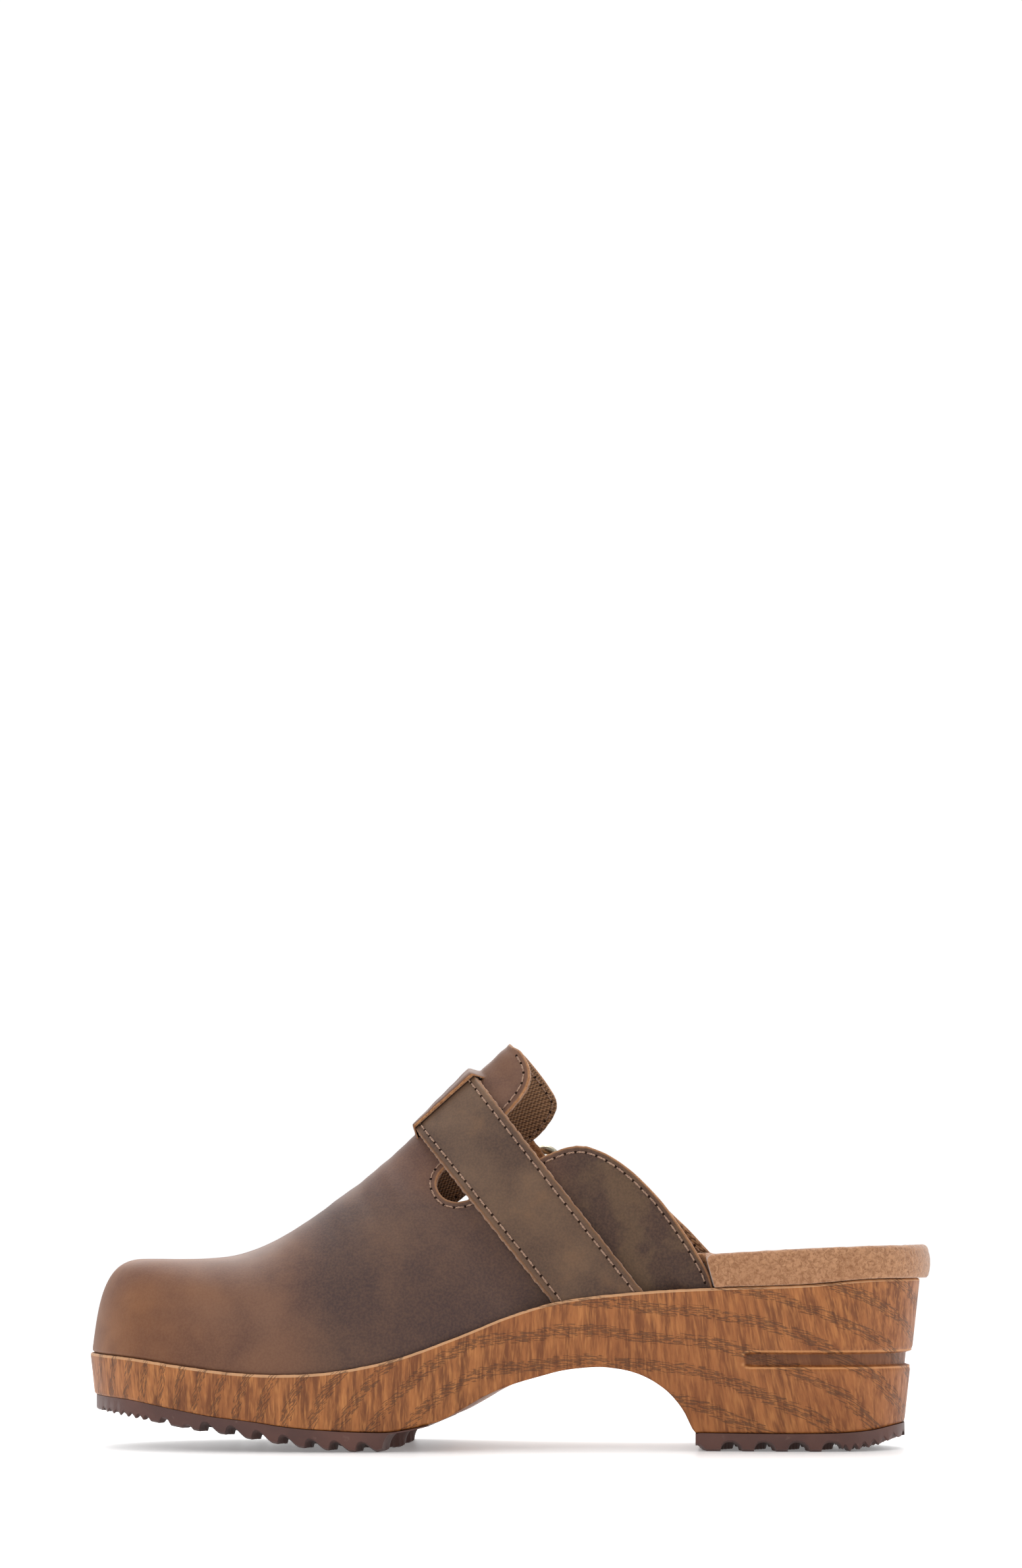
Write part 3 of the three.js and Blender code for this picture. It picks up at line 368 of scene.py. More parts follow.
def wobble(x, seed, scale=1.0):
    """Smooth irregularity between about -1 and 1 along a number or array."""
    x = np.asarray(x, float) / scale
    phase = seed * 1.7
    return (np.sin(x + phase) + np.sin(2.3 * x + 2.1 * phase) * 0.7
            + np.sin(5.1 * x + 0.7 * phase) * 0.5) / 2.2


# ------------------------------------------------------------------ meshes

def make_mesh(name, points, faces, materials, slots=None, smooth=True, values=None):
    """An object from points in the design frame (mm), faces, and a material index per face."""
    mesh = bpy.data.meshes.new(name)
    placed = (np.asarray(points, float) - CENTRE) * MM
    mesh.from_pydata(placed.tolist(), [], [list(map(int, face)) for face in faces])
    for material in materials:
        mesh.materials.append(material)
    if slots is not None:
        mesh.polygons.foreach_set("material_index", np.asarray(slots, np.int32))
    mesh.polygons.foreach_set("use_smooth", np.full(len(faces), smooth))
    for key, value in (values or {}).items():
        attribute = mesh.attributes.new(key, "FLOAT", "POINT")
        attribute.data.foreach_set("value", np.asarray(value, np.float32))
    mesh.update()
    piece = bpy.data.objects.new(name, mesh)
    bpy.context.scene.collection.objects.link(piece)
    return piece


def grid_quads(index):
    """Quads between neighbours in a table of point numbers."""
    a, b, c, d = index[:-1, :-1], index[:-1, 1:], index[1:, 1:], index[1:, :-1]
    return np.stack([a, b, c, d], -1).reshape(-1, 4)


def boundary_edges(faces):
    """Directed edges that only one face uses."""
    seen = {}
    for face in faces:
        for a, b in zip(face, [*face[1:], face[0]]):
            if (b, a) in seen:
                del seen[(b, a)]
            else:
                seen[(a, b)] = True
    return list(seen)


def thicken(points, normals, faces, outer, inner, bulge=0.25, steps=3):
    """Closed shell around a surface: outer faces, inner faces and a rounded raw edge.
    Returns points, faces and the slot of each face (0 outer, 1 inner, 2 edge)."""
    faces = [tuple(int(i) for i in face) for face in faces]
    count = len(points)
    outside = points + normals * np.broadcast_to(outer, count)[:, None]
    inside = points + normals * np.broadcast_to(inner, count)[:, None]
    edges = boundary_edges(faces)
    outward = np.zeros((count, 3))
    for a, b in edges:
        away = np.cross(points[b] - points[a], normals[a] + normals[b])
        outward[a] += away
        outward[b] += away
    outward = unit(outward)
    rim = sorted({a for a, _ in edges} | {b for _, b in edges})
    order = {point: i for i, point in enumerate(rim)}
    middle = (outside[rim] + inside[rim]) / 2
    half = (outside[rim] - inside[rim]) / 2
    layers = []
    for step in range(1, steps + 1):
        angle = math.pi * step / (steps + 1)
        layers.append(middle + half * math.cos(angle) + outward[rim] * bulge * math.sin(angle))
    all_points = np.vstack([outside, inside, *layers])

    def number(layer, point):
        if layer == 0:
            return point
        if layer == steps + 1:
            return count + point
        return 2 * count + (layer - 1) * len(rim) + order[point]

    all_faces = list(faces) + [tuple(count + i for i in face[::-1]) for face in faces]
    slots = [0] * len(faces) + [1] * len(faces)
    for a, b in edges:
        for layer in range(steps + 1):
            all_faces.append((number(layer, b), number(layer, a),
                              number(layer + 1, a), number(layer + 1, b)))
            slots.append(2)
    return all_points, all_faces, slots


def clip(params, faces, field):
    """Cuts triangles and quads where field is below zero. New points lie on the zero line."""
    params = [tuple(p) for p in params]
    field = list(field)
    kept, made = [], {}

    def crossing(a, b):
        key = (min(a, b), max(a, b))
        if key not in made:
            share = field[a] / (field[a] - field[b])
            point = np.array(params[a]) + (np.array(params[b]) - np.array(params[a])) * share
            params.append(tuple(point))
            field.append(0.0)
            made[key] = len(params) - 1
        return made[key]

    for face in faces:
        inside = [field[i] > 0 for i in face]
        if all(inside):
            kept.append(tuple(face))
        elif any(inside):
            polygon = []
            for a, b in zip(face, [*face[1:], face[0]]):
                if field[a] > 0:
                    polygon.append(a)
                if (field[a] > 0) != (field[b] > 0):
                    polygon.append(crossing(a, b))
            if len(polygon) >= 3:
                kept.append(tuple(polygon))
    used = sorted({i for face in kept for i in face})
    renumber = {old: new for new, old in enumerate(used)}
    faces = [tuple(renumber[i] for i in face) for face in kept]
    return np.array([params[i] for i in used]), faces, np.array([field[i] for i in used])


def line_distance(points, line):
    """Distance in a plane from points (n, 2) to a line of segments."""
    best = np.full(len(points), np.inf)
    for a, b in zip(line, line[1:]):
        ab = b - a
        if ab @ ab < 1e-12:
            continue
        share = np.clip(((points - a) @ ab) / (ab @ ab), 0, 1)
        best = np.minimum(best, np.linalg.norm(points - a - share[:, None] * ab, axis=1))
    return best


def inside_polygon(points, polygon):
    """Which points lie inside a closed outline in a plane."""
    x, y = points.T
    odd = np.zeros(len(points), bool)
    for (xa, ya), (xb, yb) in zip(polygon, np.roll(polygon, -1, axis=0)):
        crosses = (ya > y) != (yb > y)
        with np.errstate(divide="ignore", invalid="ignore"):
            odd ^= crosses & (x < (xb - xa) * (y - ya) / (yb - ya) + xa)
    return odd


def topline_field(k, q, inset=0.0):
    """Signed side-view distance of surface points into the leather from its top edge."""
    points = upper_point(k, q)[:, [0, 2]]
    field = np.empty(len(points))
    for side, topline in ((-1, TOPLINE_INNER), (1, TOPLINE_OUTER)):
        line = spline(topline, 8)
        around = np.array([(66, -9), (-140, -9), (-140, 140), (-3, 140)])
        here = (q < 0) if side < 0 else (q >= 0)
        distance = line_distance(points[here], line)
        within = inside_polygon(points[here], np.vstack([line, around]))
        field[here] = np.where(within, distance, -distance)
    ragged = 0.10 * wobble(points[:, 0] + points[:, 1] * 0.7, 3, 0.6)
    return field - inset + ragged * (np.abs(field) < 3)


def tube_faces(rows, count):
    """Faces of a closed tube made of rows of rings, with its two end caps."""
    faces = []
    for r in range(rows - 1):
        for i in range(count):
            n = (i + 1) % count
            faces.append((r * count + i, r * count + n, (r + 1) * count + n, (r + 1) * count + i))
    faces.append(tuple(range(count))[::-1])
    faces.append(tuple((rows - 1) * count + i for i in range(count)))
    return faces


def sweep(path, radius, sides, up):
    """Closed tube of round section along a path of points."""
    path = np.asarray(path, float)
    along = unit(np.gradient(path, axis=0))
    side = unit(np.cross(along, up))
    over = unit(np.cross(side, along))
    radius = np.broadcast_to(radius, len(path))
    angles = np.linspace(0, 2 * math.pi, sides, endpoint=False)
    ring = (side[:, None] * np.cos(angles)[None, :, None] * radius[:, None, None]
            + over[:, None] * np.sin(angles)[None, :, None] * radius[:, None, None])
    points = (path[:, None] + ring).reshape(-1, 3)
    return points, tube_faces(len(path), sides)


def join(parts):
    """One list of points and faces from several."""
    points, faces, offset = [], [], 0
    for part_points, part_faces in parts:
        points.append(part_points)
        faces.extend(tuple(i + offset for i in face) for face in part_faces)
        offset += len(part_points)
    return np.vstack(points), faces


def clean(piece, distance=1e-6):
    """Merges points that fall together and drops flat faces."""
    work = bmesh.new()
    work.from_mesh(piece.data)
    bmesh.ops.remove_doubles(work, verts=work.verts, dist=distance)
    bmesh.ops.dissolve_degenerate(work, dist=distance / 10, edges=work.edges)
    bmesh.ops.recalc_face_normals(work, faces=work.faces)
    work.to_mesh(piece.data)
    work.free()


def crisp(piece, angle=35):
    """Splits the shading at edges sharper than the angle."""
    modifier = piece.modifiers.new("crisp", "EDGE_SPLIT")
    modifier.split_angle = math.radians(angle)
    bpy.context.view_layer.objects.active = piece
    bpy.ops.object.modifier_apply(modifier="crisp")


# ------------------------------------------------------------------ materials

def srgb(red, green, blue):
    """A colour from its 0 to 255 display values."""
    def linear(value):
        value /= 255
        return value / 12.92 if value <= 0.04045 else ((value + 0.055) / 1.055) ** 2.4
    return (linear(red), linear(green), linear(blue), 1.0)


class Shader:
    """A small helper that adds nodes to a material and links them."""

    def __init__(self, name, roughness=0.6, metallic=0.0, sheen=0.0, specular=0.5):
        self.material = bpy.data.materials.new(name)
        self.material.use_nodes = True
        self.tree = self.material.node_tree
        self.surface = self.tree.nodes["Principled BSDF"]
        self.surface.inputs["Roughness"].default_value = roughness
        self.surface.inputs["Metallic"].default_value = metallic
        self.surface.inputs["Specular IOR Level"].default_value = specular
        self.surface.inputs["Sheen Weight"].default_value = sheen
        self.place = self.node("ShaderNodeTexCoord").outputs["Object"]

    def node(self, kind, **settings):
        node = self.tree.nodes.new(kind)
        for key, value in settings.items():
            setattr(node, key, value)
        return node

    def link(self, source, target):
        if hasattr(source, "is_output"):
            self.tree.links.new(source, target)
        else:
            target.default_value = source

    def math(self, operation, a, b=0.0):
        node = self.node("ShaderNodeMath", operation=operation)
        self.link(a, node.inputs[0])
        self.link(b, node.inputs[1])
        return node.outputs[0]

    def times(self, a, b):
        return self.math("MULTIPLY", a, b)

    def plus(self, a, b):
        return self.math("ADD", a, b)

    def mapped(self, scale, offset=(0, 0, 0)):
        node = self.node("ShaderNodeMapping")
        self.link(self.place, node.inputs["Vector"])
        node.inputs["Scale"].default_value = scale if isinstance(scale, tuple) else (scale,) * 3
        node.inputs["Location"].default_value = offset
        return node.outputs[0]

    def noise(self, vector, detail, roughness=0.5, distortion=0.0):
        node = self.node("ShaderNodeTexNoise")
        self.link(vector, node.inputs["Vector"])
        node.inputs["Scale"].default_value = 1.0
        node.inputs["Detail"].default_value = detail
        node.inputs["Roughness"].default_value = roughness
        node.inputs["Distortion"].default_value = distortion
        return node.outputs["Fac"]

    def band(self, value, low, high, out_low=0.0, out_high=1.0):
        node = self.node("ShaderNodeMapRange", interpolation_type="SMOOTHSTEP")
        self.link(value, node.inputs["Value"])
        for key, number in (("From Min", low), ("From Max", high),
                            ("To Min", out_low), ("To Max", out_high)):
            node.inputs[key].default_value = number
        return node.outputs["Result"]

    def mix(self, share, a, b):
        node = self.node("ShaderNodeMix", data_type="RGBA")
        self.link(share, node.inputs["Factor"])
        self.link(a, node.inputs["A"])
        self.link(b, node.inputs["B"])
        return node.outputs["Result"]

    def axes(self):
        node = self.node("ShaderNodeSeparateXYZ")
        self.link(self.place, node.inputs[0])
        return [self.math("MULTIPLY", node.outputs[i], 1000.0) for i in range(3)]

    def vector(self, x, y, z):
        node = self.node("ShaderNodeCombineXYZ")
        for value, target in zip((x, y, z), node.inputs):
            self.link(value, target)
        return node.outputs[0]

    def attribute(self, name):
        return self.node("ShaderNodeAttribute", attribute_name=name).outputs["Fac"]

    def bump(self, height, distance, strength=1.0, below=None):
        node = self.node("ShaderNodeBump")
        self.link(height, node.inputs["Height"])
        node.inputs["Distance"].default_value = distance
        node.inputs["Strength"].default_value = strength
        if below is not None:
            self.link(below, node.inputs["Normal"])
        return node.outputs["Normal"]

    def finish(self, color=None, roughness=None, normal=None):
        for value, key in ((color, "Base Color"), (roughness, "Roughness"), (normal, "Normal")):
            if value is not None:
                self.link(value, self.surface.inputs[key])
        return self.material


WOOD_DARK = (103, 57, 27)
WOOD_LIGHT = (160, 99, 50)
WOOD_BRIGHT = (192, 128, 70)
WOOD_RED = (136, 75, 34)
WOOD_PORE = (74, 46, 27)


def wood_material(name, cut=False):
    """Brushed oak: upright light and dark flecks crossed by bands of short open pores."""
    s = Shader(name, roughness=0.5, specular=0.35)
    x, y, z = s.axes()
    # flecks lean back towards the heel
    leaning = s.times(s.band(x, 20, 100), 0.24)
    across = s.plus(x, s.times(z, leaning))
    fleck_place = s.vector(s.times(across, 0.42), s.times(y, 0.42),
                           s.times(z, 0.055))
    flecks = s.noise(fleck_place, 4.0, 0.62)
    fine_place = s.vector(s.times(across, 1.25), s.times(y, 1.25),
                          s.times(z, 0.09))
    fine = s.noise(fine_place, 2.0, 0.5)
    patches = s.noise(s.mapped((26, 26, 20)), 2.0)
    # growth rings: ovals round a point under the arch, flatter towards the heel
    dx = s.math("SUBTRACT", x, 27.0)
    square = s.times(s.times(dx, dx), 0.3)
    ahead = s.math("MAXIMUM", s.times(dx, -1.0), 0.0)
    cube = s.times(s.math("POWER", ahead, 3.0), 0.0052)
    flat = s.plus(square, cube)
    rise = s.plus(z, 20.0)
    rise2 = s.times(rise, rise)
    warp = s.noise(s.mapped(38), 2.0)
    ring = s.math("SQRT", s.plus(flat, rise2))
    ring = s.plus(ring, s.times(warp, 5.0))
    ring = s.plus(ring, s.times(y, 0.2))
    wave = s.math("SINE", s.times(ring, 2 * math.pi / 8.2))
    stroke = s.math("SQRT", s.plus(s.times(flat, 0.5), rise2))
    stroke = s.plus(stroke, s.times(y, 0.3))
    along = s.plus(x, s.times(z, 0.9))
    dash_place = s.vector(s.times(along, 0.42), s.times(stroke, 3.4),
                          s.times(y, 0.42))
    dashes = s.noise(dash_place, 1.5, 0.5, 0.25)
    in_band = s.band(wave, -0.2, 0.8)
    threshold = s.math("SUBTRACT", dashes, s.times(in_band, 0.17))
    pores = s.band(threshold, 0.325, 0.3)
    pores = s.times(pores, s.band(in_band, 0.1, 0.6))
    base = s.mix(s.band(flecks, 0.33, 0.68), srgb(*WOOD_DARK), srgb(*WOOD_LIGHT))
    base = s.mix(s.band(fine, 0.44, 0.74, 0.0, 0.55), base, srgb(*WOOD_BRIGHT))
    base = s.mix(s.band(patches, 0.35, 0.7, 0.0, 0.35), base, srgb(*WOOD_RED))
    if cut:
        base = s.mix(0.65, base, srgb(206, 160, 118))
    # painted shade inside the groove, darker towards its upper side, and a painted highlight along its
    # lips, both read from the groove value
    groove_shade = s.attribute("groove")
    base = s.mix(s.band(groove_shade, 0.0, 1.0, 0.0, 0.75), base, srgb(92, 54, 30))
    base = s.mix(s.band(groove_shade, 0.0, -1.0, 0.0, 0.6), base, srgb(206, 146, 92))
    color = s.mix(s.times(pores, 0.62), base, srgb(*WOOD_PORE))
    height = s.math("SUBTRACT", s.times(fine, 0.25), pores)
    rough = s.band(flecks, 0.3, 0.7, 0.58, 0.44)
    return s.finish(color, rough, s.bump(height, 0.00018, 0.8))


def nubuck_material(name, strap=False):
    """Oiled pull-up nubuck: brown at the toe, darker and cooler in the middle, mottled."""
    s = Shader(name, roughness=0.55, sheen=0.04, specular=0.28)
    s.surface.inputs["Sheen Roughness"].default_value = 0.5
    x, _, z = s.axes()
    clouds = s.noise(s.mapped((24, 24, 30)), 3.0, 0.55, 0.4)
    patches = s.noise(s.mapped(70, (3, 1, 2)), 3.0, 0.6)
    speckle = s.noise(s.mapped(1500), 2.0, 0.6)
    grain = s.noise(s.mapped(520), 3.0, 0.6)
    toe = s.band(x, -60, -118)
    blotch = s.plus(s.times(clouds, 0.75), s.times(patches, 0.25))
    if strap:
        base = s.mix(s.band(blotch, 0.36, 0.62), srgb(70, 52, 43), srgb(101, 78, 60))
        base = s.mix(s.band(patches, 0.5, 0.72, 0.0, 0.4), base, srgb(112, 80, 54))
    else:
        shadow_x = s.times(s.band(x, -75, -38), s.band(x, 45, 5))
        shadow_z = s.band(z, 92, 62)
        shade = s.times(shadow_x, shadow_z)
        warm = s.mix(s.band(blotch, 0.35, 0.65), srgb(99, 60, 40), srgb(129, 84, 52))
        middle = s.mix(s.band(blotch, 0.36, 0.64), srgb(80, 53, 45), srgb(106, 73, 55))
        dark = s.mix(s.band(blotch, 0.38, 0.66), srgb(62, 45, 43), srgb(88, 64, 52))
        base = s.mix(toe, middle, warm)
        reach = s.plus(s.times(shade, 1.1), s.times(clouds, -0.55))
        base = s.mix(s.band(reach, -0.1, 0.75), base, dark)
        olive = s.mix(s.band(patches, 0.4, 0.6), srgb(55, 38, 32), srgb(80, 61, 44))
        quarter = s.times(s.band(x, 6, 26, 0.0, 0.9), s.band(z, 100, 90))
        base = s.mix(quarter, base, olive)
    base = s.mix(s.band(speckle, 0.3, 0.7, 0.0, 0.16), base, srgb(140, 104, 76))
    # paler towards the cut edges: a little within 1.4 mm and more within 0.45 mm
    near = s.attribute("edge_mm")
    paler_near_edge = s.band(near, 1.4, 0.0, 0.0, 0.3)
    base = s.mix(paler_near_edge, base, srgb(118, 82, 54))
    base = s.mix(s.band(near, 0.45, 0.1, 0.0, 0.8), base, srgb(150, 106, 70))
    height = s.plus(s.times(grain, 0.6), s.times(speckle, 0.4))
    rough = s.band(clouds, 0.3, 0.7, 0.62, 0.48)
    return s.finish(base, rough, s.bump(height, 0.00012, 0.5))


def raw_edge_material():
    """Cut edge and flesh side of the leather: tan, fibrous."""
    s = Shader("leather_raw_edge", roughness=0.9, sheen=0.3, specular=0.2)
    fibre = s.noise(s.mapped(900), 4.0, 0.7, 1.0)
    tone = s.noise(s.mapped(120), 2.0)
    base = s.mix(s.band(fibre, 0.3, 0.7), srgb(128, 84, 52), srgb(190, 140, 96))
    base = s.mix(s.band(tone, 0.3, 0.7, 0.0, 0.5), base, srgb(140, 92, 58))
    return s.finish(base, None, s.bump(fibre, 0.0003, 0.8))


def canvas_material():
    """Woven lining: brown yarns over and under, with fuzz."""
    s = Shader("lining_canvas", roughness=0.95, sheen=0.25, specular=0.15)
    along = s.attribute("warp_mm")
    across = s.attribute("weft_mm")
    pitch = 2 * math.pi / 1.15
    warp = s.math("SINE", s.times(along, pitch))
    weft = s.math("SINE", s.times(across, pitch))
    product = s.times(warp, weft)
    ribs = s.math("ABSOLUTE", s.math("SINE", s.times(across, pitch / 2)))
    height = s.plus(s.times(product, 0.35), s.times(ribs, 0.65))
    fuzz = s.noise(s.mapped(1800), 3.0, 0.7)
    base = s.mix(s.band(height, -0.1, 0.9), srgb(84, 58, 40), srgb(158, 120, 88))
    base = s.mix(s.band(fuzz, 0.35, 0.7, 0.0, 0.4), base, srgb(158, 122, 90))
    height = s.plus(height, s.times(fuzz, 0.25))
    return s.finish(base, None, s.bump(height, 0.0004, 0.9))


def suede_material():
    """Short soft nap that lies in swirls."""
    s = Shader("footbed_suede", roughness=0.95, sheen=0.45, specular=0.15)
    s.surface.inputs["Sheen Roughness"].default_value = 0.4
    swirl = s.noise(s.mapped(820), 3.0, 0.65, 0.9)
    nap = s.noise(s.mapped(1600), 3.0, 0.7, 0.8)
    tone = s.noise(s.mapped(45), 2.0)
    base = s.mix(s.band(swirl, 0.34, 0.66), srgb(132, 90, 62), srgb(180, 134, 99))
    base = s.mix(s.band(nap, 0.35, 0.7, 0.0, 0.3), base, srgb(196, 152, 118))
    base = s.mix(s.band(tone, 0.3, 0.7, 0.0, 0.3), base, srgb(146, 102, 72))
    height = s.plus(s.times(swirl, 0.6), s.times(nap, 0.4))
    return s.finish(base, None, s.bump(height, 0.0005, 0.8))


def rubber_material():
    s = Shader("tread_rubber", roughness=0.5, specular=0.4)
    grain = s.noise(s.mapped(900), 2.0)
    tone = s.noise(s.mapped(60), 3.0)
    dust = s.noise(s.mapped(420, (5, 3, 1)), 2.0)
    base = s.mix(s.band(tone, 0.3, 0.7), srgb(74, 47, 42), srgb(94, 62, 54))
    base = s.mix(s.band(dust, 0.66, 0.8, 0.0, 0.35), base, srgb(128, 100, 90))
    rough = s.band(tone, 0.3, 0.7, 0.42, 0.58)
    return s.finish(base, rough, s.bump(grain, 0.00008, 0.5))


def thread_material():
    s = Shader("stitch_thread", roughness=0.6, sheen=0.2, specular=0.35)
    fibre = s.noise(s.mapped(2600), 3.0, 0.6)
    base = s.mix(s.band(fibre, 0.3, 0.7), srgb(122, 90, 72), srgb(180, 146, 122))
    return s.finish(base, None, s.bump(fibre, 0.0001, 0.6))


def hole_shade_material():
    # painted shade: a near-black colour that stands in for the shade down in the needle holes
    s = Shader("needle_hole_shade", roughness=0.9, specular=0.1)
    tone = s.noise(s.mapped(800), 1.0)
    return s.finish(s.mix(tone, srgb(26, 16, 12), srgb(44, 28, 20)))


def metal_material():
    """Antique nickel over brass, brighter and duller in random patches of wear."""
    s = Shader("buckle_metal", roughness=0.32, metallic=1.0)
    wear = s.noise(s.mapped(240), 4.0, 0.6)
    scratch = s.noise(s.mapped((2400, 300, 900)), 2.0)
    base = s.mix(s.band(wear, 0.35, 0.7), srgb(118, 112, 98), srgb(196, 188, 166))
    rough = s.band(wear, 0.3, 0.7, 0.48, 0.24)
    return s.finish(base, rough, s.bump(scratch, 0.00004, 0.4))


def layered_material(name, dark, light, size, roughness=0.95):
    """Plain inner stuffs: board, cork, foam, stiffener."""
    s = Shader(name, roughness=roughness, specular=0.2)
    grain = s.noise(s.mapped(size), 4.0, 0.65)
    base = s.mix(s.band(grain, 0.35, 0.65), srgb(*dark), srgb(*light))
    return s.finish(base, None, s.bump(grain, 0.0003, 0.6))


WOOD = wood_material("sole_wood")
WOOD_CUT = wood_material("sole_wood_cut_edge", cut=True)
NUBUCK = nubuck_material("upper_nubuck")
STRAP_NUBUCK = nubuck_material("strap_nubuck", strap=True)
RAW_EDGE = raw_edge_material()
CANVAS = canvas_material()
SUEDE = suede_material()
RUBBER = rubber_material()
THREAD = thread_material()
HOLE_SHADE = hole_shade_material()
METAL = metal_material()


# ------------------------------------------------------------------ sole

AROUND = 640


def ring_points(inset, height):
    """Points round the rim, from the heel back over the inner side and the toe."""
    t = np.arange(AROUND) / AROUND
    plan = rim_point(t, inset)
    return np.column_stack([plan, height(plan[:, 0])])


def ring_stack(rings):
    """Faces between rings listed from the top inside, over the wall, to the bottom."""
    points = np.vstack(rings)
    faces, rows = [], []
    for level in range(len(rings) - 1):
        for i in range(AROUND):
            n = (i + 1) % AROUND
            a, b = level * AROUND, (level + 1) * AROUND
            faces.append((a + i, b + i, b + n, a + n))
            rows.append(level)
    half = AROUND // 2

    def cap(start, flip):
        for i in range(half):
            a, b = start + i, start + i + 1
            c, d = start + (AROUND - i - 1) % AROUND, start + (AROUND - i) % AROUND
            face = [a, b, c, d] if flip else [d, c, b, a]
            face = list(dict.fromkeys(face))
            if len(face) >= 3:
                faces.append(tuple(face))
                rows.append(-1)

    cap(0, True)
    cap((len(rings) - 1) * AROUND, False)
    return points, faces, np.array(rows)


def wall_height(x, share):
    """Height on the wall, from just under the rim (0) to just above the underside (1)."""
    return mix(rim_height(x) - 0.8, underside_height(x) + 0.6, share)


def wall_inset(x, z):
    """How far the wall stands inside the rim at height z: its draft, the groove and its lips."""
    from_line = np.hypot(np.minimum(x - GROOVE_FRONT, 0), z - GROOVE_Z)
    groove = GROOVE_DEPTH * (1 - smoothstep(from_line, 1.55, 2.3))
    lip = 0.25 * np.exp(-((from_line - 2.6) / 0.5) ** 2)
    return WALL_DRAFT * (rim_height(x) - z) + (groove + lip * (x > 74)) * (x > 60)


def full_draft(x):
    """How far inside the rim the wall ends at the underside."""
    return WALL_DRAFT * (rim_height(x) - underside_height(x))


def build_sole():
    """Wooden sole: a recess for the upper, a worn rim, the wall with its groove, the underside."""
    rough = 0.12 * wobble(np.arange(AROUND) * 0.9, 9, 1.0)
    rings = [
        ring_points(POCKET_INSET, lambda x: rim_height(x) - POCKET_DEPTH),
        ring_points(POCKET_INSET, lambda x: rim_height(x) - 0.25),
        ring_points(0.85, lambda x: rim_height(x) + rough * 0.5),
        ring_points(0.45, lambda x: rim_height(x) - 0.05 + rough * 0.5),
        ring_points(0.12, lambda x: rim_height(x) - 0.5 + rough),
    ]
    shares = np.concatenate([np.linspace(0, 0.40, 30), np.linspace(0.405, 0.62, 70),
                             np.linspace(0.63, 1, 30)])
    around = np.arange(AROUND) / AROUND
    for share in shares:
        plan = rim_point(around, lambda x: wall_inset(x, wall_height(x, share)))
        rings.append(np.column_stack([plan, wall_height(outline(around)[0][:, 0], share)]))
    rings += [
        ring_points(lambda x: full_draft(x) + 0.2, lambda x: underside_height(x) + 0.2),
        ring_points(lambda x: full_draft(x) + 0.7, underside_height),
        ring_points(lambda x: full_draft(x) + 3.0, underside_height),
    ]
    points, faces, rows = ring_stack(rings)
    slots = np.where((rows >= 1) & (rows <= 4), 1, 0)
    # groove value for the wood colour: painted shade inside the groove, strongest under its upper side,
    # and negative values for a painted highlight on its lips
    from_line = np.hypot(np.minimum(points[:, 0] - GROOVE_FRONT, 0), points[:, 2] - GROOVE_Z)
    groove = (1 - smoothstep(from_line, 1.2, 2.1)) * (0.7 + 0.3 * smoothstep(points[:, 2], 26, 28.5))
    groove = groove - 0.9 * np.exp(-((from_line - 2.45) / 0.35) ** 2)
    groove = groove * (points[:, 0] > 60)
    piece = make_mesh("sole_block", points, faces, [WOOD, WOOD_CUT], slots, values={"groove": groove})
    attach(piece, "clog")
    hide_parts("wooden_sole")


def half_width(x, inset):
    """Inner and outer edge of the outline at stations x."""
    t = np.linspace(0, 0.5, 1500)
    inner = rim_point(t, inset)
    outer = rim_point(1 - t, inset)
    low = np.interp(-x, -inner[:, 0], inner[:, 1])
    high = np.interp(-x, -outer[:, 0], outer[:, 1])
    return low, high


def groove_wave(y):
    """How far a cross groove wanders along the tread."""
    return 3.1 * np.sin(y * 2 * math.pi / 25 + 0.9)


def tread_mesh(name, node, stations, profile, inset):
    """A tread: a flat top under the wood and cross grooves below that follow a wave."""
    columns = 41
    v = np.linspace(0, 1, columns)
    low, high = half_width(stations, inset)
    x = np.repeat(stations[:, None], columns, 1)
    y = mix(low[:, None], high[:, None], v[None])
    shifted = x + groove_wave(y) * smoothstep(v, 0, 0.25)[None] * smoothstep(1 - v, 0, 0.25)[None]
    bottom = profile(x, shifted)
    top = underside_height(x) - 0.05
    edge = np.minimum(v, 1 - v)[None] * (high - low)[:, None]
    bottom = bottom + 0.7 * (1 - smoothstep(edge, 0, 0.9))
    upper = np.stack([x, y, top], -1).reshape(-1, 3)
    lower = np.stack([x, y, np.minimum(bottom, top - 0.4)], -1).reshape(-1, 3)
    count = len(stations)
    index = np.arange(count * columns).reshape(count, columns)
    faces = [tuple(face) for face in grid_quads(index)[:, ::-1]]
    faces += [tuple(face) for face in grid_quads(index + count * columns)]
    edges = boundary_edges(faces[: len(faces) // 2])
    for a, b in edges:
        faces.append((b, a, a + count * columns, b + count * columns))
    piece = make_mesh(name, np.vstack([upper, lower]), faces, [RUBBER])
    crisp(piece, 38)
    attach(piece, "clog")
    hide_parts(node)


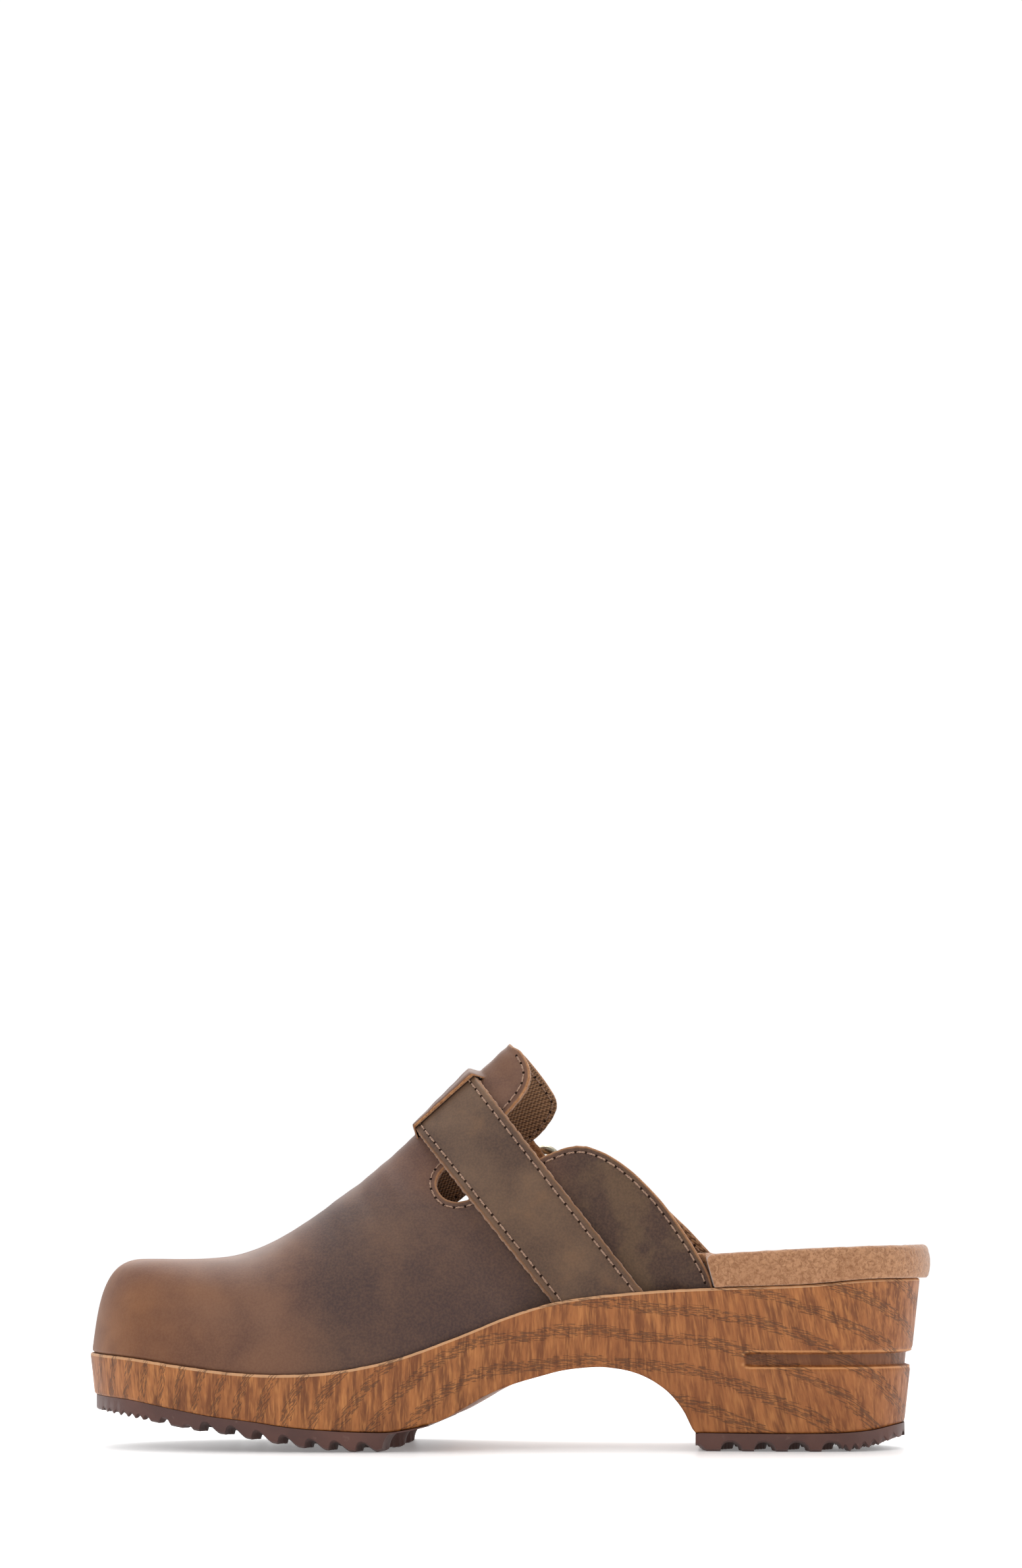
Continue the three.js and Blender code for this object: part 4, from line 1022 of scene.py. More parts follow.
def build_treads():
    """Slanted teeth and fine toe ribs under the forefoot; wide gaps and fine ribs under the heel."""
    steep = 2.3

    def forefoot(x, place):
        ground = np.maximum(forefoot_ground(x), 0)
        ground = ground + 7.5 * smoothstep(place, -35.5, -24.5)
        cut = np.zeros_like(x)
        for notch in TEETH:
            past = place - (notch - steep)
            rising = np.sqrt(np.clip(1 - (1 - past / 1.5) ** 2, 0, 1))
            falling = 1 - smoothstep(past, 1.7, 6.4)
            bite = np.where(past < 1.5, rising, falling)
            cut = np.maximum(cut, TOOTH_DEPTH * bite * (past > 0))
        ribs = 0.55 * (1 - np.cos((place + 121.5) * 2 * math.pi / 2.6))
        ribs = ribs * smoothstep(place, -122.5, -120.5) * (1 - smoothstep(place, -103.6, -103.2))
        gap = 1.5 * (1 - smoothstep(np.abs(place + 98.8), 0.6, 2.0))
        shallow = 0.9 * (1 - smoothstep(np.abs(place + 91.5), 0.5, 1.9))
        return ground + np.maximum.reduce([cut, ribs, gap, shallow])

    def heel(x, place):
        ground = np.maximum(heel_ground(x), 0)
        cut = np.zeros_like(x)
        for i in range(HEEL_GAPS):
            past = place - (HEEL_GAP_FIRST + HEEL_GAP_PITCH * i)
            across = np.clip(np.abs(past) / np.where(past < 0, 2.6, 3.8), 0, 1)
            cut = np.maximum(cut, HEEL_GAP_DEPTH * (1 - across**2.4) ** 0.6)
        front = 1.6 * (1 - smoothstep(place, 58.5, 61.0))
        ribs = 0.75 * (1 - np.cos((place - 100.2) * 2 * math.pi / 2.8)) * smoothstep(place, 100.6, 101.4)
        return ground + np.maximum.reduce([cut, ribs, front])

    tread_mesh("tread_forefoot", "forefoot_tread", np.linspace(-124.6, -20.2, 620), forefoot, 2.0)
    tread_mesh("tread_heel", "heel_tread", np.linspace(57.6, 119.3, 400), heel, 4.9)


# ------------------------------------------------------------------ footbed

def bed_step(x):
    """0 inside the upper and 1 behind it, where the bed stands out over the rim."""
    return smoothstep(x, *BED_STEP)


def bed_inset(x):
    """How far the bed's edge stands inside the rim; negative where it stands out."""
    overhang = mix(OVERHANG_SIDE, OVERHANG_HEEL, smoothstep(x, 95, 124))
    return mix(leather_inset(x) + 4.6, -overhang, bed_step(x))


def build_footbed():
    """Suede-covered footbed with a crowned edge: narrow in the upper, standing out at the heel."""
    places = np.unique(np.concatenate([
        0.25 - 0.25 * np.cos(np.linspace(0, math.pi, 260)),
        np.linspace(4.06, 4.24, 44) / len(RIM_OUTLINE),
    ]))
    across = np.linspace(0, 1, 61)
    across = mix(across, 0.5 - 0.5 * np.cos(across * math.pi), 0.75)
    inner = rim_point(places, bed_inset)
    outer = rim_point(1 - places, bed_inset)
    plan = mix(inner[:, None], outer[:, None], across[None, :, None])
    border = np.vstack([inner, outer[::-1]])
    flat = plan.reshape(-1, 2)
    edge = line_distance(flat, border).reshape(plan.shape[:2])
    x = plan[..., 0]
    bowl = np.clip(1 - edge / BED_HALF_WIDTH, 0, 1)
    turned_in = np.maximum(BED_CROWN - edge, 0)
    rounded = BED_CROWN - np.sqrt(np.maximum(BED_CROWN**2 - turned_in**2, 0))
    nap = 0.12 * wobble(x * 0.9 + plan[..., 1] * 1.3, 5, 2.0)
    top = bed_middle(x) + bed_edge_rise(x) * bowl**2.5 - rounded * mix(0.35, 1, bed_step(x)) + nap
    rows, columns = x.shape
    index = np.arange(rows * columns).reshape(rows, columns)
    points = [np.dstack([plan, top]).reshape(-1, 3)]
    faces = [tuple(face) for face in grid_quads(index)]
    edges = boundary_edges(faces)
    rim = sorted({a for a, _ in edges})
    order = {point: i for i, point in enumerate(rim)}
    surface = points[0][rim]
    foot = np.where(surface[:, 0] > 60.6, rim_height(surface[:, 0]) + 0.15, surface[:, 2] - 2.5)
    centre = np.array([60.0, 0.0])
    inward = unit(centre - surface[:, :2]) * np.where(surface[:, 0] > 60, 1, 0)[:, None]
    levels = [0.08, 0.25, 0.5, 0.75, 0.92, 1.0]
    tucks = [-0.25, -0.45, -0.45, -0.2, 0.15, 0.7]
    for share, tuck in zip(levels, tucks):
        ring = surface.copy()
        ring[:, 2] = mix(surface[:, 2], foot, share)
        ring[:, :2] += inward * tuck
        behind = 1 - smoothstep(surface[:, 0], 61.2, 68)
        ring[:, 0] += 2.2 * share * behind * (surface[:, 0] > 60.6)
        points.append(ring)
    count = rows * columns
    for a, b in edges:
        previous = (a, b)
        for level in range(len(levels)):
            base = count + level * len(rim)
            here = (base + order[a], base + order[b])
            faces.append((previous[1], previous[0], here[0], here[1]))
            previous = here
    last = count + (len(levels) - 1) * len(rim)
    for r in range(rows - 1):
        corners = (index[r, 0], index[r, -1], index[r + 1, -1], index[r + 1, 0])
        faces.append(tuple(last + order[i] for i in corners[::-1]))
    piece = make_mesh("footbed_suede_cover", np.vstack(points), faces, [SUEDE])
    clean(piece)
    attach(piece, "clog")
    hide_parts("footbed_cover")


# ------------------------------------------------------------------ upper

def upper_grid(rows, columns):
    """k lines and q lines of the upper, with lines exactly at the ends and slits of the bridge."""
    ends = (strap_rear - BRIDGE_CLEAR - BRIDGE_RAMP, strap_front + BRIDGE_CLEAR + BRIDGE_RAMP)
    k = np.concatenate([
        np.linspace(0, ends[0], int(rows * ends[0]), endpoint=False),
        np.linspace(*ends, int(2.2 * rows * (ends[1] - ends[0])), endpoint=False),
        np.linspace(ends[1], 1, int(rows * (1 - ends[1]))),
    ])
    near = np.linspace(-BRIDGE_HALF, BRIDGE_HALF, 2 * int(columns * BRIDGE_HALF / 2) + 1)
    side = np.linspace(BRIDGE_HALF, 1, int(columns * (1 - BRIDGE_HALF) / 2) + 1)[1:]
    return k, np.concatenate([-side[::-1], near, side]), ends


def upper_surface(rows, columns, bridge):
    """Params (k, q, lift) and faces of the upper, folded at the toe, with the bridge's slits."""
    k, q, ends = upper_grid(rows, columns)
    kk, qq = np.meshgrid(k, q, indexing="ij")
    index = np.arange(kk.size).reshape(kk.shape)
    middle = len(q) // 2
    index[-1, middle + 1:] = index[-1, :middle][::-1]
    params = np.stack([kk, qq, np.zeros_like(kk)], -1).reshape(-1, 3)
    quads = grid_quads(index)
    if bridge:
        window = (np.abs(qq) <= BRIDGE_HALF + 1e-9) & (kk > ends[0] + 1e-9) & (kk < ends[1] - 1e-9)
        raised = index.copy()
        raised[window] = len(params) + np.arange(window.sum())
        extra = np.stack([kk[window], qq[window],
                          bridge_rise(kk[window]) * (BRIDGE_HEIGHT - dip(qq[window]))], -1)
        params = np.vstack([params, extra])
        cell_k = (kk[:-1, :-1] + kk[1:, :-1]) / 2
        cell_q = (qq[:-1, :-1] + qq[:-1, 1:]) / 2
        over = ((np.abs(cell_q) < BRIDGE_HALF) & (cell_k > ends[0]) & (cell_k < ends[1])).ravel()
        quads = np.where(over[:, None], grid_quads(raised), quads)
    return params, quads


def leather_face(k, q, points):
    """How far the outer face of the leather swells and creases off the plain surface."""
    above = points[:, 2] - rim_height(points[:, 0])
    swell = (0.35 + 0.95 * smoothstep(k, 0.6, 0.92)) * smoothstep(above, -0.4, 0.8)
    swell = swell * (1 - 0.8 * smoothstep(np.abs(q), 0.5, 0.15)) * smoothstep(k, strap_front, 0.4)
    creases = 0.18 * wobble(points[:, 0] * 0.5 + points[:, 2] * 0.35, 2, 3.0)
    return swell + creases * smoothstep(k, 0.62, 0.35)


def build_upper():
    """Leather shell with its raw top edge and the bridge over the strap."""
    params, quads = upper_surface(250, 190, bridge=True)
    field = topline_field(params[:, 0], params[:, 1])
    params, faces, field = clip(params, quads, field)
    k, q, lift = params.T
    points, normals = upper_point(k, q), upper_normal(k, q)
    seam = 0.14 * np.exp(-((field - TOPLINE_SEAM) / 0.8) ** 2)
    face = leather_face(k, q, points)
    flesh = lift - 1.5 + 0.4 * (lift > 1)
    points, faces, slots = thicken(points, normals, faces, lift - seam + face, flesh, 0.3)
    edge = np.concatenate([field, field, np.zeros(len(points) - 2 * len(field))])
    piece = make_mesh("upper_leather_shell", points, faces, [NUBUCK, RAW_EDGE, RAW_EDGE], slots,
                      values={"edge_mm": np.abs(edge)})
    clean(piece)
    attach(piece, "clog")
    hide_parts("upper_leather")


def build_lining():
    """Woven lining inside the leather, with its thread directions as point values."""
    params, quads = upper_surface(170, 140, bridge=False)
    field = topline_field(params[:, 0], params[:, 1], 0.15)
    params, faces, field = clip(params, quads, field)
    k, q, _ = params.T
    points, normals = upper_point(k, q), upper_normal(k, q)
    deep = -1.7 - 1.5 * smoothstep(k, 0.45, 0.62)
    sides = np.interp(k, [0, 1], [0, 210])
    values = {"warp_mm": sides, "weft_mm": q * 78 + sides * 0.25}
    points, faces, slots = thicken(points, normals, faces, deep, deep - 0.7, 0.12)
    values = {key: fit_values(value, len(points), params, faces) for key, value in values.items()}
    piece = make_mesh("upper_lining_canvas", points, faces, [CANVAS, CANVAS, CANVAS], slots,
                      values=values)
    clean(piece)
    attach(piece, "clog")
    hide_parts("upper_lining")


def fit_values(value, total, params, faces):
    """Repeats a value per surface point for both faces; edge points take their neighbours' value."""
    count = len(params)
    full = np.concatenate([value, value, np.full(total - 2 * count, np.nan)])
    for _ in range(4):
        for face in faces:
            known = [full[i] for i in face if not np.isnan(full[i])]
            if len(known) < len(face) and known:
                for i in face:
                    if np.isnan(full[i]):
                        full[i] = known[0]
    return full


# ------------------------------------------------------------------ stitching

def stitch_run(points, normals, pitch=3.35, radius=0.26, gap=0.55):
    """Two-ply stitches that dip into needle holes, along a line on a surface.
    Returns the threads and the holes, each as points and faces."""
    goals, length = even_places(points, pitch)
    step = goals[1] - goals[0]
    threads, holes = [], []

    def at(place):
        p = np.stack([np.interp(place, length, points[:, i]) for i in range(3)], -1)
        n = unit(np.stack([np.interp(place, length, normals[:, i]) for i in range(3)], -1))
        return p, n

    for start in goals[:-1]:
        jitter = rng.uniform(-0.12, 0.12, 2)
        s = np.linspace(0, 1, 11)
        place = start + gap / 2 + (step - gap) * s
        p, n = at(place)
        along = unit(np.gradient(p, axis=0))
        side = unit(np.cross(along, n))
        height = radius * np.sin(math.pi * np.clip(s, 0, 1)) ** 0.55 - 0.10
        slant = mix(jitter[0], jitter[1], s)[:, None] * 0.6
        for ply in (0, 1):
            turn = 2 * math.pi * (1.15 * s) + ply * math.pi
            twist = radius * 0.52
            centre = (p + n * (height + np.sin(turn) * twist)[:, None]
                      + side * (np.cos(turn) * twist)[:, None] + side * slant)
            thick = radius * 0.62 * np.sin(math.pi * np.clip(0.06 + 0.88 * s, 0, 1)) ** 0.35
            threads.append(sweep(centre, thick, 6, n[5]))
    for place in goals:
        p, n = at(np.array([place]))
        along = unit(at(np.array([place + 0.1]))[0] - at(np.array([place - 0.1]))[0])
        side = unit(np.cross(along, n))
        holes.append(needle_hole_shade(p[0], n[0], along[0], side[0]))
    return join(threads), join(holes)


def needle_hole_shade(centre, normal, along, side):
    """A small dimple in painted shade: a shallow bowl just proud of the surface, dark in place of the
    hole's shaded depth.
    """
    angles = np.linspace(0, 2 * math.pi, 10, endpoint=False)
    rings = []
    for radius, lift in ((0.42, 0.02), (0.30, 0.05), (0.12, 0.03)):
        rings.append(centre + normal * lift + np.cos(angles)[:, None] * along * radius * 1.15
                     + np.sin(angles)[:, None] * side * radius)
    points = np.vstack([*rings, centre + normal * 0.02, centre - normal * 0.4])
    faces = tube_faces(3, 10)[:-2]
    for i in range(10):
        n = (i + 1) % 10
        faces.append((20 + i, 20 + n, 30))
        faces.append((n, i, 31))
    return points, faces


def stitch_piece(name, runs, body, nodes):
    """One piece from stitch runs. With no body given, its place is baked into its points and it joins no
    body.
    """
    threads = join([run[0] for run in runs])
    holes = join([run[1] for run in runs])
    points, faces = join([threads, holes])
    slots = [0] * len(threads[1]) + [1] * len(holes[1])
    piece = make_mesh(name, points, faces, [THREAD, HOLE_SHADE], slots)
    if body:
        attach(piece, body)
    else:
        bend_with_tail(piece)
    if nodes:
        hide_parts(*nodes)


def topline_run(side, outside=True):
    """Stitch line of one side of the upper: its points on the leather, or on the lining."""
    line = spline(TOPLINE_INNER if side < 0 else TOPLINE_OUTER, 6)
    seam = inset_line(line, TOPLINE_SEAM)
    seam = seam[(seam[:, 1] < 117.5) & (seam[:, 1] > 48.5)]
    place = (0.02, side * 0.2)
    params = []
    for x, z in seam:
        place = find_on_upper(side, x, z, place)
        params.append(place)
    k, q = np.array(params).T
    normals = upper_normal(k, q)
    if outside:
        points = upper_point(k, q)
        return stitch_run(points + normals * (leather_face(k, q, points) - 0.1)[:, None], normals)
    deep = -2.4 - 1.5 * smoothstep(k, 0.45, 0.62)
    return stitch_run(upper_point(k, q) + normals * deep[:, None], -normals, radius=0.22)


def strap_stitch_run(edge, q0, q1):
    """Stitch line along one edge of the strap, from q0 to q1."""
    inward = np.sign(strap_middle - edge) * 0.0105
    q = np.linspace(q0, q1, 60)
    k = np.full_like(q, edge + inward)
    normals = upper_normal(k, q)
    points = strap_point(k, q, STRAP[1])
    return stitch_run(points, normals)


# ------------------------------------------------------------------ buckle's own directions

def bisect(test, low, high):
    """The place between low and high up to which the test holds."""
    for _ in range(40):
        middle = (low + high) / 2
        if test(middle):
            low = middle
        else:
            high = middle
    return low


bar_place = bisect(lambda q: upper_point(strap_middle, q)[2] > BAR_HEIGHT, 0.05, 1)
buckle_origin = upper_point(strap_middle, bar_place)
away = upper_normal(strap_middle, bar_place)
down = upper_point(strap_middle, bar_place + 0.01) - buckle_origin
down = unit(down - away * (down @ away))
across = np.cross(away, down)


def by_buckle(a, b, n):
    """Point down the strap, across it and away from the shoe, from the foot of the bar."""
    a, b, n = np.broadcast_arrays(np.asarray(a, float), np.asarray(b, float), np.asarray(n, float))
    return (buckle_origin + a[..., None] * down + b[..., None] * across + n[..., None] * away)


def ground_table():
    """Highest point of the upper across the strap's width, by distance down the strap."""
    shares = np.array([0.08, 0.3, 0.5, 0.7, 0.92])
    q = np.arange(0.3, 1.0001, 0.005)
    best = []
    for share in shares:
        offset = upper_point(mix(strap_rear, strap_front, share), q) - buckle_origin
        best.append((offset @ down, offset @ away))
    stations = np.linspace(-40, 32, 145)
    heights = [np.interp(stations, a, n) for a, n in best]
    return stations, np.max(heights, axis=0)


GROUND = ground_table()


def ground(a):
    """Height of the upper under the strap at distance a."""
    return np.interp(a, *GROUND)


rim_lift = ground(-FRAME_REACH) + STRAP[1] + 2 * GAP + FRAME_RIM
tilt = math.atan2(rim_lift - BAR_LIFT, FRAME_REACH)
bar_centre = by_buckle(0, 0, BAR_LIFT)
frame_up = -down * math.cos(tilt) + away * math.sin(tilt)
frame_away = away * math.cos(tilt) + down * math.sin(tilt)
frame_across = np.cross(frame_away, frame_up)


def on_bar(x, y, z):
    """Point from the frame's own coordinates: towards the front rim, across, away."""
    x, y, z = np.broadcast_arrays(np.asarray(x, float), np.asarray(y, float), np.asarray(z, float))
    return (bar_centre + x[..., None] * frame_up + y[..., None] * frame_across
            + z[..., None] * frame_away)


# ------------------------------------------------------------------ strap

def strap_lift(a):
    """Inner face of the strap over the flat of the buckle: under the rim, over the bar, then
    down onto the chape."""
    under = ground(-FRAME_REACH) + STRAP[0]
    rising = mix(under, STRAP_OVER_BAR, smoothstep(a, -FRAME_REACH + FRAME_RIM, -1))
    resting = ground(a) + 2 * CHAPE_THICKNESS + 6 * GAP
    falling = np.maximum(mix(STRAP_OVER_BAR, resting, smoothstep(a, 3, 11)), resting)
    return np.where(a < 3, rising, falling)


def strap_point(k, q, distance):
    """A point of the strap, on the upper or, towards the buckle, on its free run."""
    k, q = np.broadcast_arrays(np.asarray(k, float), np.asarray(q, float))
    on_upper = off_upper(k, q, distance - dip(q))
    a = (upper_point(strap_middle, q) - buckle_origin) @ down
    b = (upper_point(k, bar_place) - buckle_origin) @ across
    free = by_buckle(a, b, strap_lift(a) + distance - STRAP[0])
    share = smoothstep(a, -FRAME_REACH - 2, -FRAME_REACH + 6) * (q > 0.2)
    return mix(on_upper, free, share[..., None])


def place_at(a):
    """q on the strap's middle line at distance a down the strap."""
    return bisect(lambda q: (upper_point(strap_middle, q) - buckle_origin) @ down < a, 0.05, 1)


def strap_layer(inner, outer, tail_end, margin):
    """Middle surface of a layer of the strap: points, normals, faces, and its rows and columns.
    It runs from the inner side of the sole over the ridge to the round tip of the tail."""
    q_over = place_at(-4)
    q = np.linspace(-1, q_over, 260)
    w = np.linspace(-1, 1, 29)
    width = (strap_front - strap_rear) / 2 - margin
    k = strap_middle + w * width
    ragged = (0.0004 - 0.6 * min(margin, 0)) * wobble(np.arange(len(q)) * 1.9, 4, 1.7)
    kk = k[None, :] + ragged[:, None] * np.sign(w)[None] * (np.abs(w) > 0.9)[None]
    qq = np.repeat(q[:, None], len(w), 1)
    middle = (inner + outer) / 2
    body = strap_point(kk, qq, middle)
    a = np.linspace(-4, tail_end, 60)[1:]
    b = (upper_point(k, bar_place) - buckle_origin) @ across
    half = (b[-1] - b[0]) / 2
    past = np.clip((a - tail_end + abs(half) * 0.8) / (abs(half) * 0.8), 0, 0.999)
    narrow = np.sqrt(1 - past**2.2)
    bb = (b.mean() + (b[None, :] - b.mean()) * narrow[:, None])
    n = strap_lift(a) + middle - STRAP[0]
    tail = by_buckle(a[:, None], bb, n[:, None])
    points = np.concatenate([body, tail])
    rows, columns = points.shape[:2]
    along_rows = np.gradient(points, axis=0)
    along_columns = np.gradient(points, axis=1)
    normals = unit(np.cross(along_rows, along_columns))
    flip = np.sign(np.sum(normals[20, 14] * upper_normal(strap_middle, q[20])))
    index = np.arange(rows * columns).reshape(rows, columns)
    quads = grid_quads(index)
    if flip < 0:
        normals = -normals
        quads = quads[:, ::-1]
    stations = np.concatenate([(upper_point(strap_middle, q) - buckle_origin) @ down, a])
    stations[: len(q)] = np.where(q < 0.2, -99, stations[: len(q)])
    return points.reshape(-1, 3), normals.reshape(-1, 3), quads, stations, w, b


def cut_slot(faces, rows_a, b):
    """Removes the faces inside the prong's slot."""
    columns = len(b)
    kept = []
    for face in faces:
        rows = [i // columns for i in face]
        cols = [i % columns for i in face]
        a = np.mean([rows_a[r] for r in rows])
        across_mm = np.mean([b[c] for c in cols])
        if not (SLOT_ENDS[0] < a < SLOT_ENDS[1] and abs(across_mm) < SLOT_HALF):
            kept.append(tuple(face))
    return kept


def bend_with_tail(piece):
    """Works out a hinge for the tail that would bend over a few millimetres with its axis leaning
    outward, but only bakes the piece's place into its points; nothing bends."""
    lean = math.radians(BEND_LEAN)
    reach = BEND_LENGTH * math.cos(lean)
    first = TAIL_START - 1.5
    last = by_buckle(first + reach * math.cos(lean), 0, BEND_HEIGHT + reach * math.sin(lean))
    start = (by_buckle(first, 0, BEND_HEIGHT) - CENTRE) * MM
    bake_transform(piece)


def build_strap():
    """The strap's leather and the lining under it, with the prong's slot."""
    for name, (inner, outer), margin, end, nodes, materials, slot_name in (
        ("instep_strap_leather", STRAP, 0.0, TAIL_END, ("instep_strap", "strap_tail"),
         (STRAP_NUBUCK, RAW_EDGE, RAW_EDGE), "nubuck"),
        ("instep_strap_lining", BACKING, -0.0013, TAIL_END - 0.1, ("instep_strap_backing",),
         (RAW_EDGE, RAW_EDGE, RAW_EDGE), "leather_flesh"),
    ):
        points, normals, faces, stations, w, b = strap_layer(inner, outer, end, margin)
        faces = cut_slot(faces, stations, b)
        half = (outer - inner) / 2
        count = len(points)
        distance = np.tile((1 - np.abs(w)) * STRAP_HALF_WIDTH, count // len(w))
        seam = 0.16 * np.exp(-((distance - STRAP_SEAM) / 0.7) ** 2)
        rounded = 0.25 * np.exp(-distance / 0.5)
        points, faces, slots = thicken(points, normals, faces, half - seam - rounded, -half, 0.3)
        edge = np.concatenate([distance, distance, np.zeros(len(points) - 2 * count)])
        piece = make_mesh(name, points, faces, list(materials), slots, values={"edge_mm": edge})
        clean(piece)
        bend_with_tail(piece)
        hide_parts(*nodes)


def tail_stitch_run():
    """Stitch line round the tail: down one edge, round the tip and back up the other."""
    b_edge = [(upper_point(edge, bar_place) - buckle_origin) @ across
              for edge in (strap_rear, strap_front)]
    middle = np.mean(b_edge)
    half = abs(b_edge[1] - b_edge[0]) / 2 - STRAP_SEAM
    tip = TAIL_END - STRAP_SEAM
    angle = np.linspace(-math.pi / 2, math.pi / 2, 50)
    reach = half * 0.8
    straight = np.linspace(-4.6, tip - reach, 40)[:-1]
    a = np.concatenate([straight, tip - reach + reach * np.cos(angle), straight[::-1]])
    b = np.concatenate([np.full(39, middle - half), middle + half * np.sin(angle),
                        np.full(39, middle + half)])
    points = by_buckle(a, b, strap_lift(a) + STRAP[1] - STRAP[0])
    places = np.linspace(-6, 22, 120)
    slope = np.gradient(strap_lift(places), 28 / 119)
    normals = unit(away[None] - down[None] * np.interp(a, places, slope)[:, None])
    return stitch_run(points, normals)


def build_stitching():
    """Stitches of the top edge on both sides, of the strap's two edges and of its tail."""
    for name, side in (("inner", -1), ("outer", 1)):
        runs = [topline_run(side), topline_run(side, False)]
        stitch_piece(f"stitches_topline_{name}", runs, "clog", [f"topline_stitching_{name}"])
    seam_end = place_at(-5)
    for edge_name, edge in (("front", strap_front), ("rear", strap_rear)):
        runs = [strap_stitch_run(edge, -0.965, seam_end)]
        stitch_piece(f"stitches_strap_{edge_name}", runs, "clog",
                     [f"strap_stitching_{edge_name}_inner", f"strap_stitching_{edge_name}_outer"])
    stitch_piece("stitches_strap_tail", [tail_stitch_run()], None, [])


# ------------------------------------------------------------------ buckle and chape

def extrude_buckle(loop, width, bevel):
    """A closed outline in a and n, as wide as given across the strap, with softened sides."""
    along = unit(np.roll(loop, -1, 0) - np.roll(loop, 1, 0))
    inward = np.stack([-along[:, 1], along[:, 0]], -1)
    area = np.sum(loop[:, 0] * np.roll(loop[:, 1], -1) - np.roll(loop[:, 0], -1) * loop[:, 1])
    inward = inward * np.sign(area)
    rows = []
    for b, shrink in ((-width / 2, bevel), (-width / 2 + bevel, 0), (0, 0), (width / 2 - bevel, 0),
                      (width / 2, bevel)):
        ring = loop + inward * shrink
        rows.append(by_buckle(ring[:, 0], b, ring[:, 1]))
    return np.vstack(rows), tube_faces(len(rows), len(loop))


def chape_end():
    """Distance down the strap at which the chape would end, 4 mm past the upper's foot."""
    return (upper_point(strap_middle, 1) - buckle_origin) @ down + 4


def chape_fold_lift(a):
    """Height of the folded layer's inner face over the inner face of the layer below it."""
    return mix(2.6, CHAPE_THICKNESS + 0.3, smoothstep(a, 3, 9))


def chape_loop():
    """Outline of the chape in a and n: up from the sole, round the bar and down on itself."""
    hug = BAR_RADIUS + GAP
    a_under = np.linspace(3.5, chape_end(), 24)
    under = np.column_stack([a_under, ground(a_under) + CHAPE_CLEAR])
    under_back = np.column_stack([a_under, ground(a_under) + CHAPE_CLEAR + CHAPE_THICKNESS])[::-1]
    a_over = np.linspace(4.5, CHAPE_FOLD, 16)
    over = np.column_stack([a_over, ground(a_over) + CHAPE_CLEAR + chape_fold_lift(a_over)])
    over_back = over[::-1] + [0, CHAPE_THICKNESS]
    turn = np.linspace(math.pi * 0.42, math.pi * 1.5, 28)
    outside = np.column_stack([(hug + CHAPE_THICKNESS) * np.cos(turn),
                               BAR_LIFT + (hug + CHAPE_THICKNESS) * np.sin(turn)])
    inside = np.column_stack([hug * np.cos(turn), BAR_LIFT + hug * np.sin(turn)])[::-1]
    return np.vstack([outside, under, under_back, inside, over, over_back])


def stop_in_sole(points, depth=1.0):
    """Draws back up the strap whatever reaches deeper than this into the sole."""
    for _ in range(4):
        short = np.maximum(rim_height(points[:, 0]) - depth - points[:, 2], 0)
        points = points + down * (short / down[2])[:, None]
    return points


def chape_web():
    """The chape's two layers between its side strips, below the prong's slot."""
    parts = []
    a = np.linspace(4.4, chape_end(), 24)
    a_fold = np.linspace(4.4, CHAPE_FOLD, 14)
    for places, low in ((a, ground(a) + CHAPE_CLEAR),
                        (a_fold, ground(a_fold) + CHAPE_CLEAR + chape_fold_lift(a_fold))):
        top = np.column_stack([places, low + CHAPE_THICKNESS])[::-1]
        loop = np.vstack([np.column_stack([places, low]), top])
        parts.append(extrude_buckle(loop, 3.5, 0.0))
    return join(parts)


def build_chape():
    """Leather loop that holds the bar, slotted for the prong and stitched below it."""
    loop = chape_loop()
    parts = []
    for low, high in ((-CHAPE_WIDTH / 2, -SLOT_HALF), (SLOT_HALF, CHAPE_WIDTH / 2)):
        points, faces = extrude_buckle(loop, high - low, 0.25)
        parts.append((points + across * (low + high) / 2, faces))
    parts.append(chape_web())
    points, faces = join(parts)
    points = stop_in_sole(points)
    piece = make_mesh("chape_leather", points, faces, [STRAP_NUBUCK],
                      values={"edge_mm": np.full(len(points), 4.0)})
    clean(piece)
    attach(piece, "clog")
    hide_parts("buckle_chape")
    b = np.linspace(-CHAPE_WIDTH / 2 + 2, CHAPE_WIDTH / 2 - 2, 30)
    a = np.full_like(b, CHAPE_FOLD - 2)
    height = ground(a) + CHAPE_CLEAR + 2 * CHAPE_THICKNESS + 0.3
    run = stitch_run(by_buckle(a, b, height), np.repeat(away[None], len(b), 0), 3.0, 0.22)
    stitch_piece("stitches_chape", [run], "clog", ["chape_stitching"])


def frame_path():
    """Middle line of the frame: out along one arm, round two corners and back along the other."""
    half = (FRAME_INNER + FRAME_OUTER) / 4
    corner = 3.6
    reach = FRAME_REACH
    arc = np.linspace(0, math.pi / 2, 14)
    path = [(x, -half) for x in np.linspace(0, reach - corner, 14)[:-1]]
    path += [(reach - corner + corner * math.sin(t), -half + corner - corner * math.cos(t))
             for t in arc]
    path += [(reach, y) for y in np.linspace(-half + corner, half - corner, 16)[1:-1]]
    path += [(reach - corner + corner * math.cos(t), half - corner + corner * math.sin(t))
             for t in arc]
    path += [(x, half) for x in np.linspace(reach - corner, 0, 14)[1:]]
    return np.array(path)


def hub(middle, arm):
    """Round sleeve at the end of an arm, through which the bar passes."""
    low = middle - arm / 2
    high = middle + arm / 2
    return turned([(1.4, low), (2.1, low), (2.4, low + 0.3), (2.4, high - 0.3), (2.1, high),
                   (1.4, high)], closed=True)


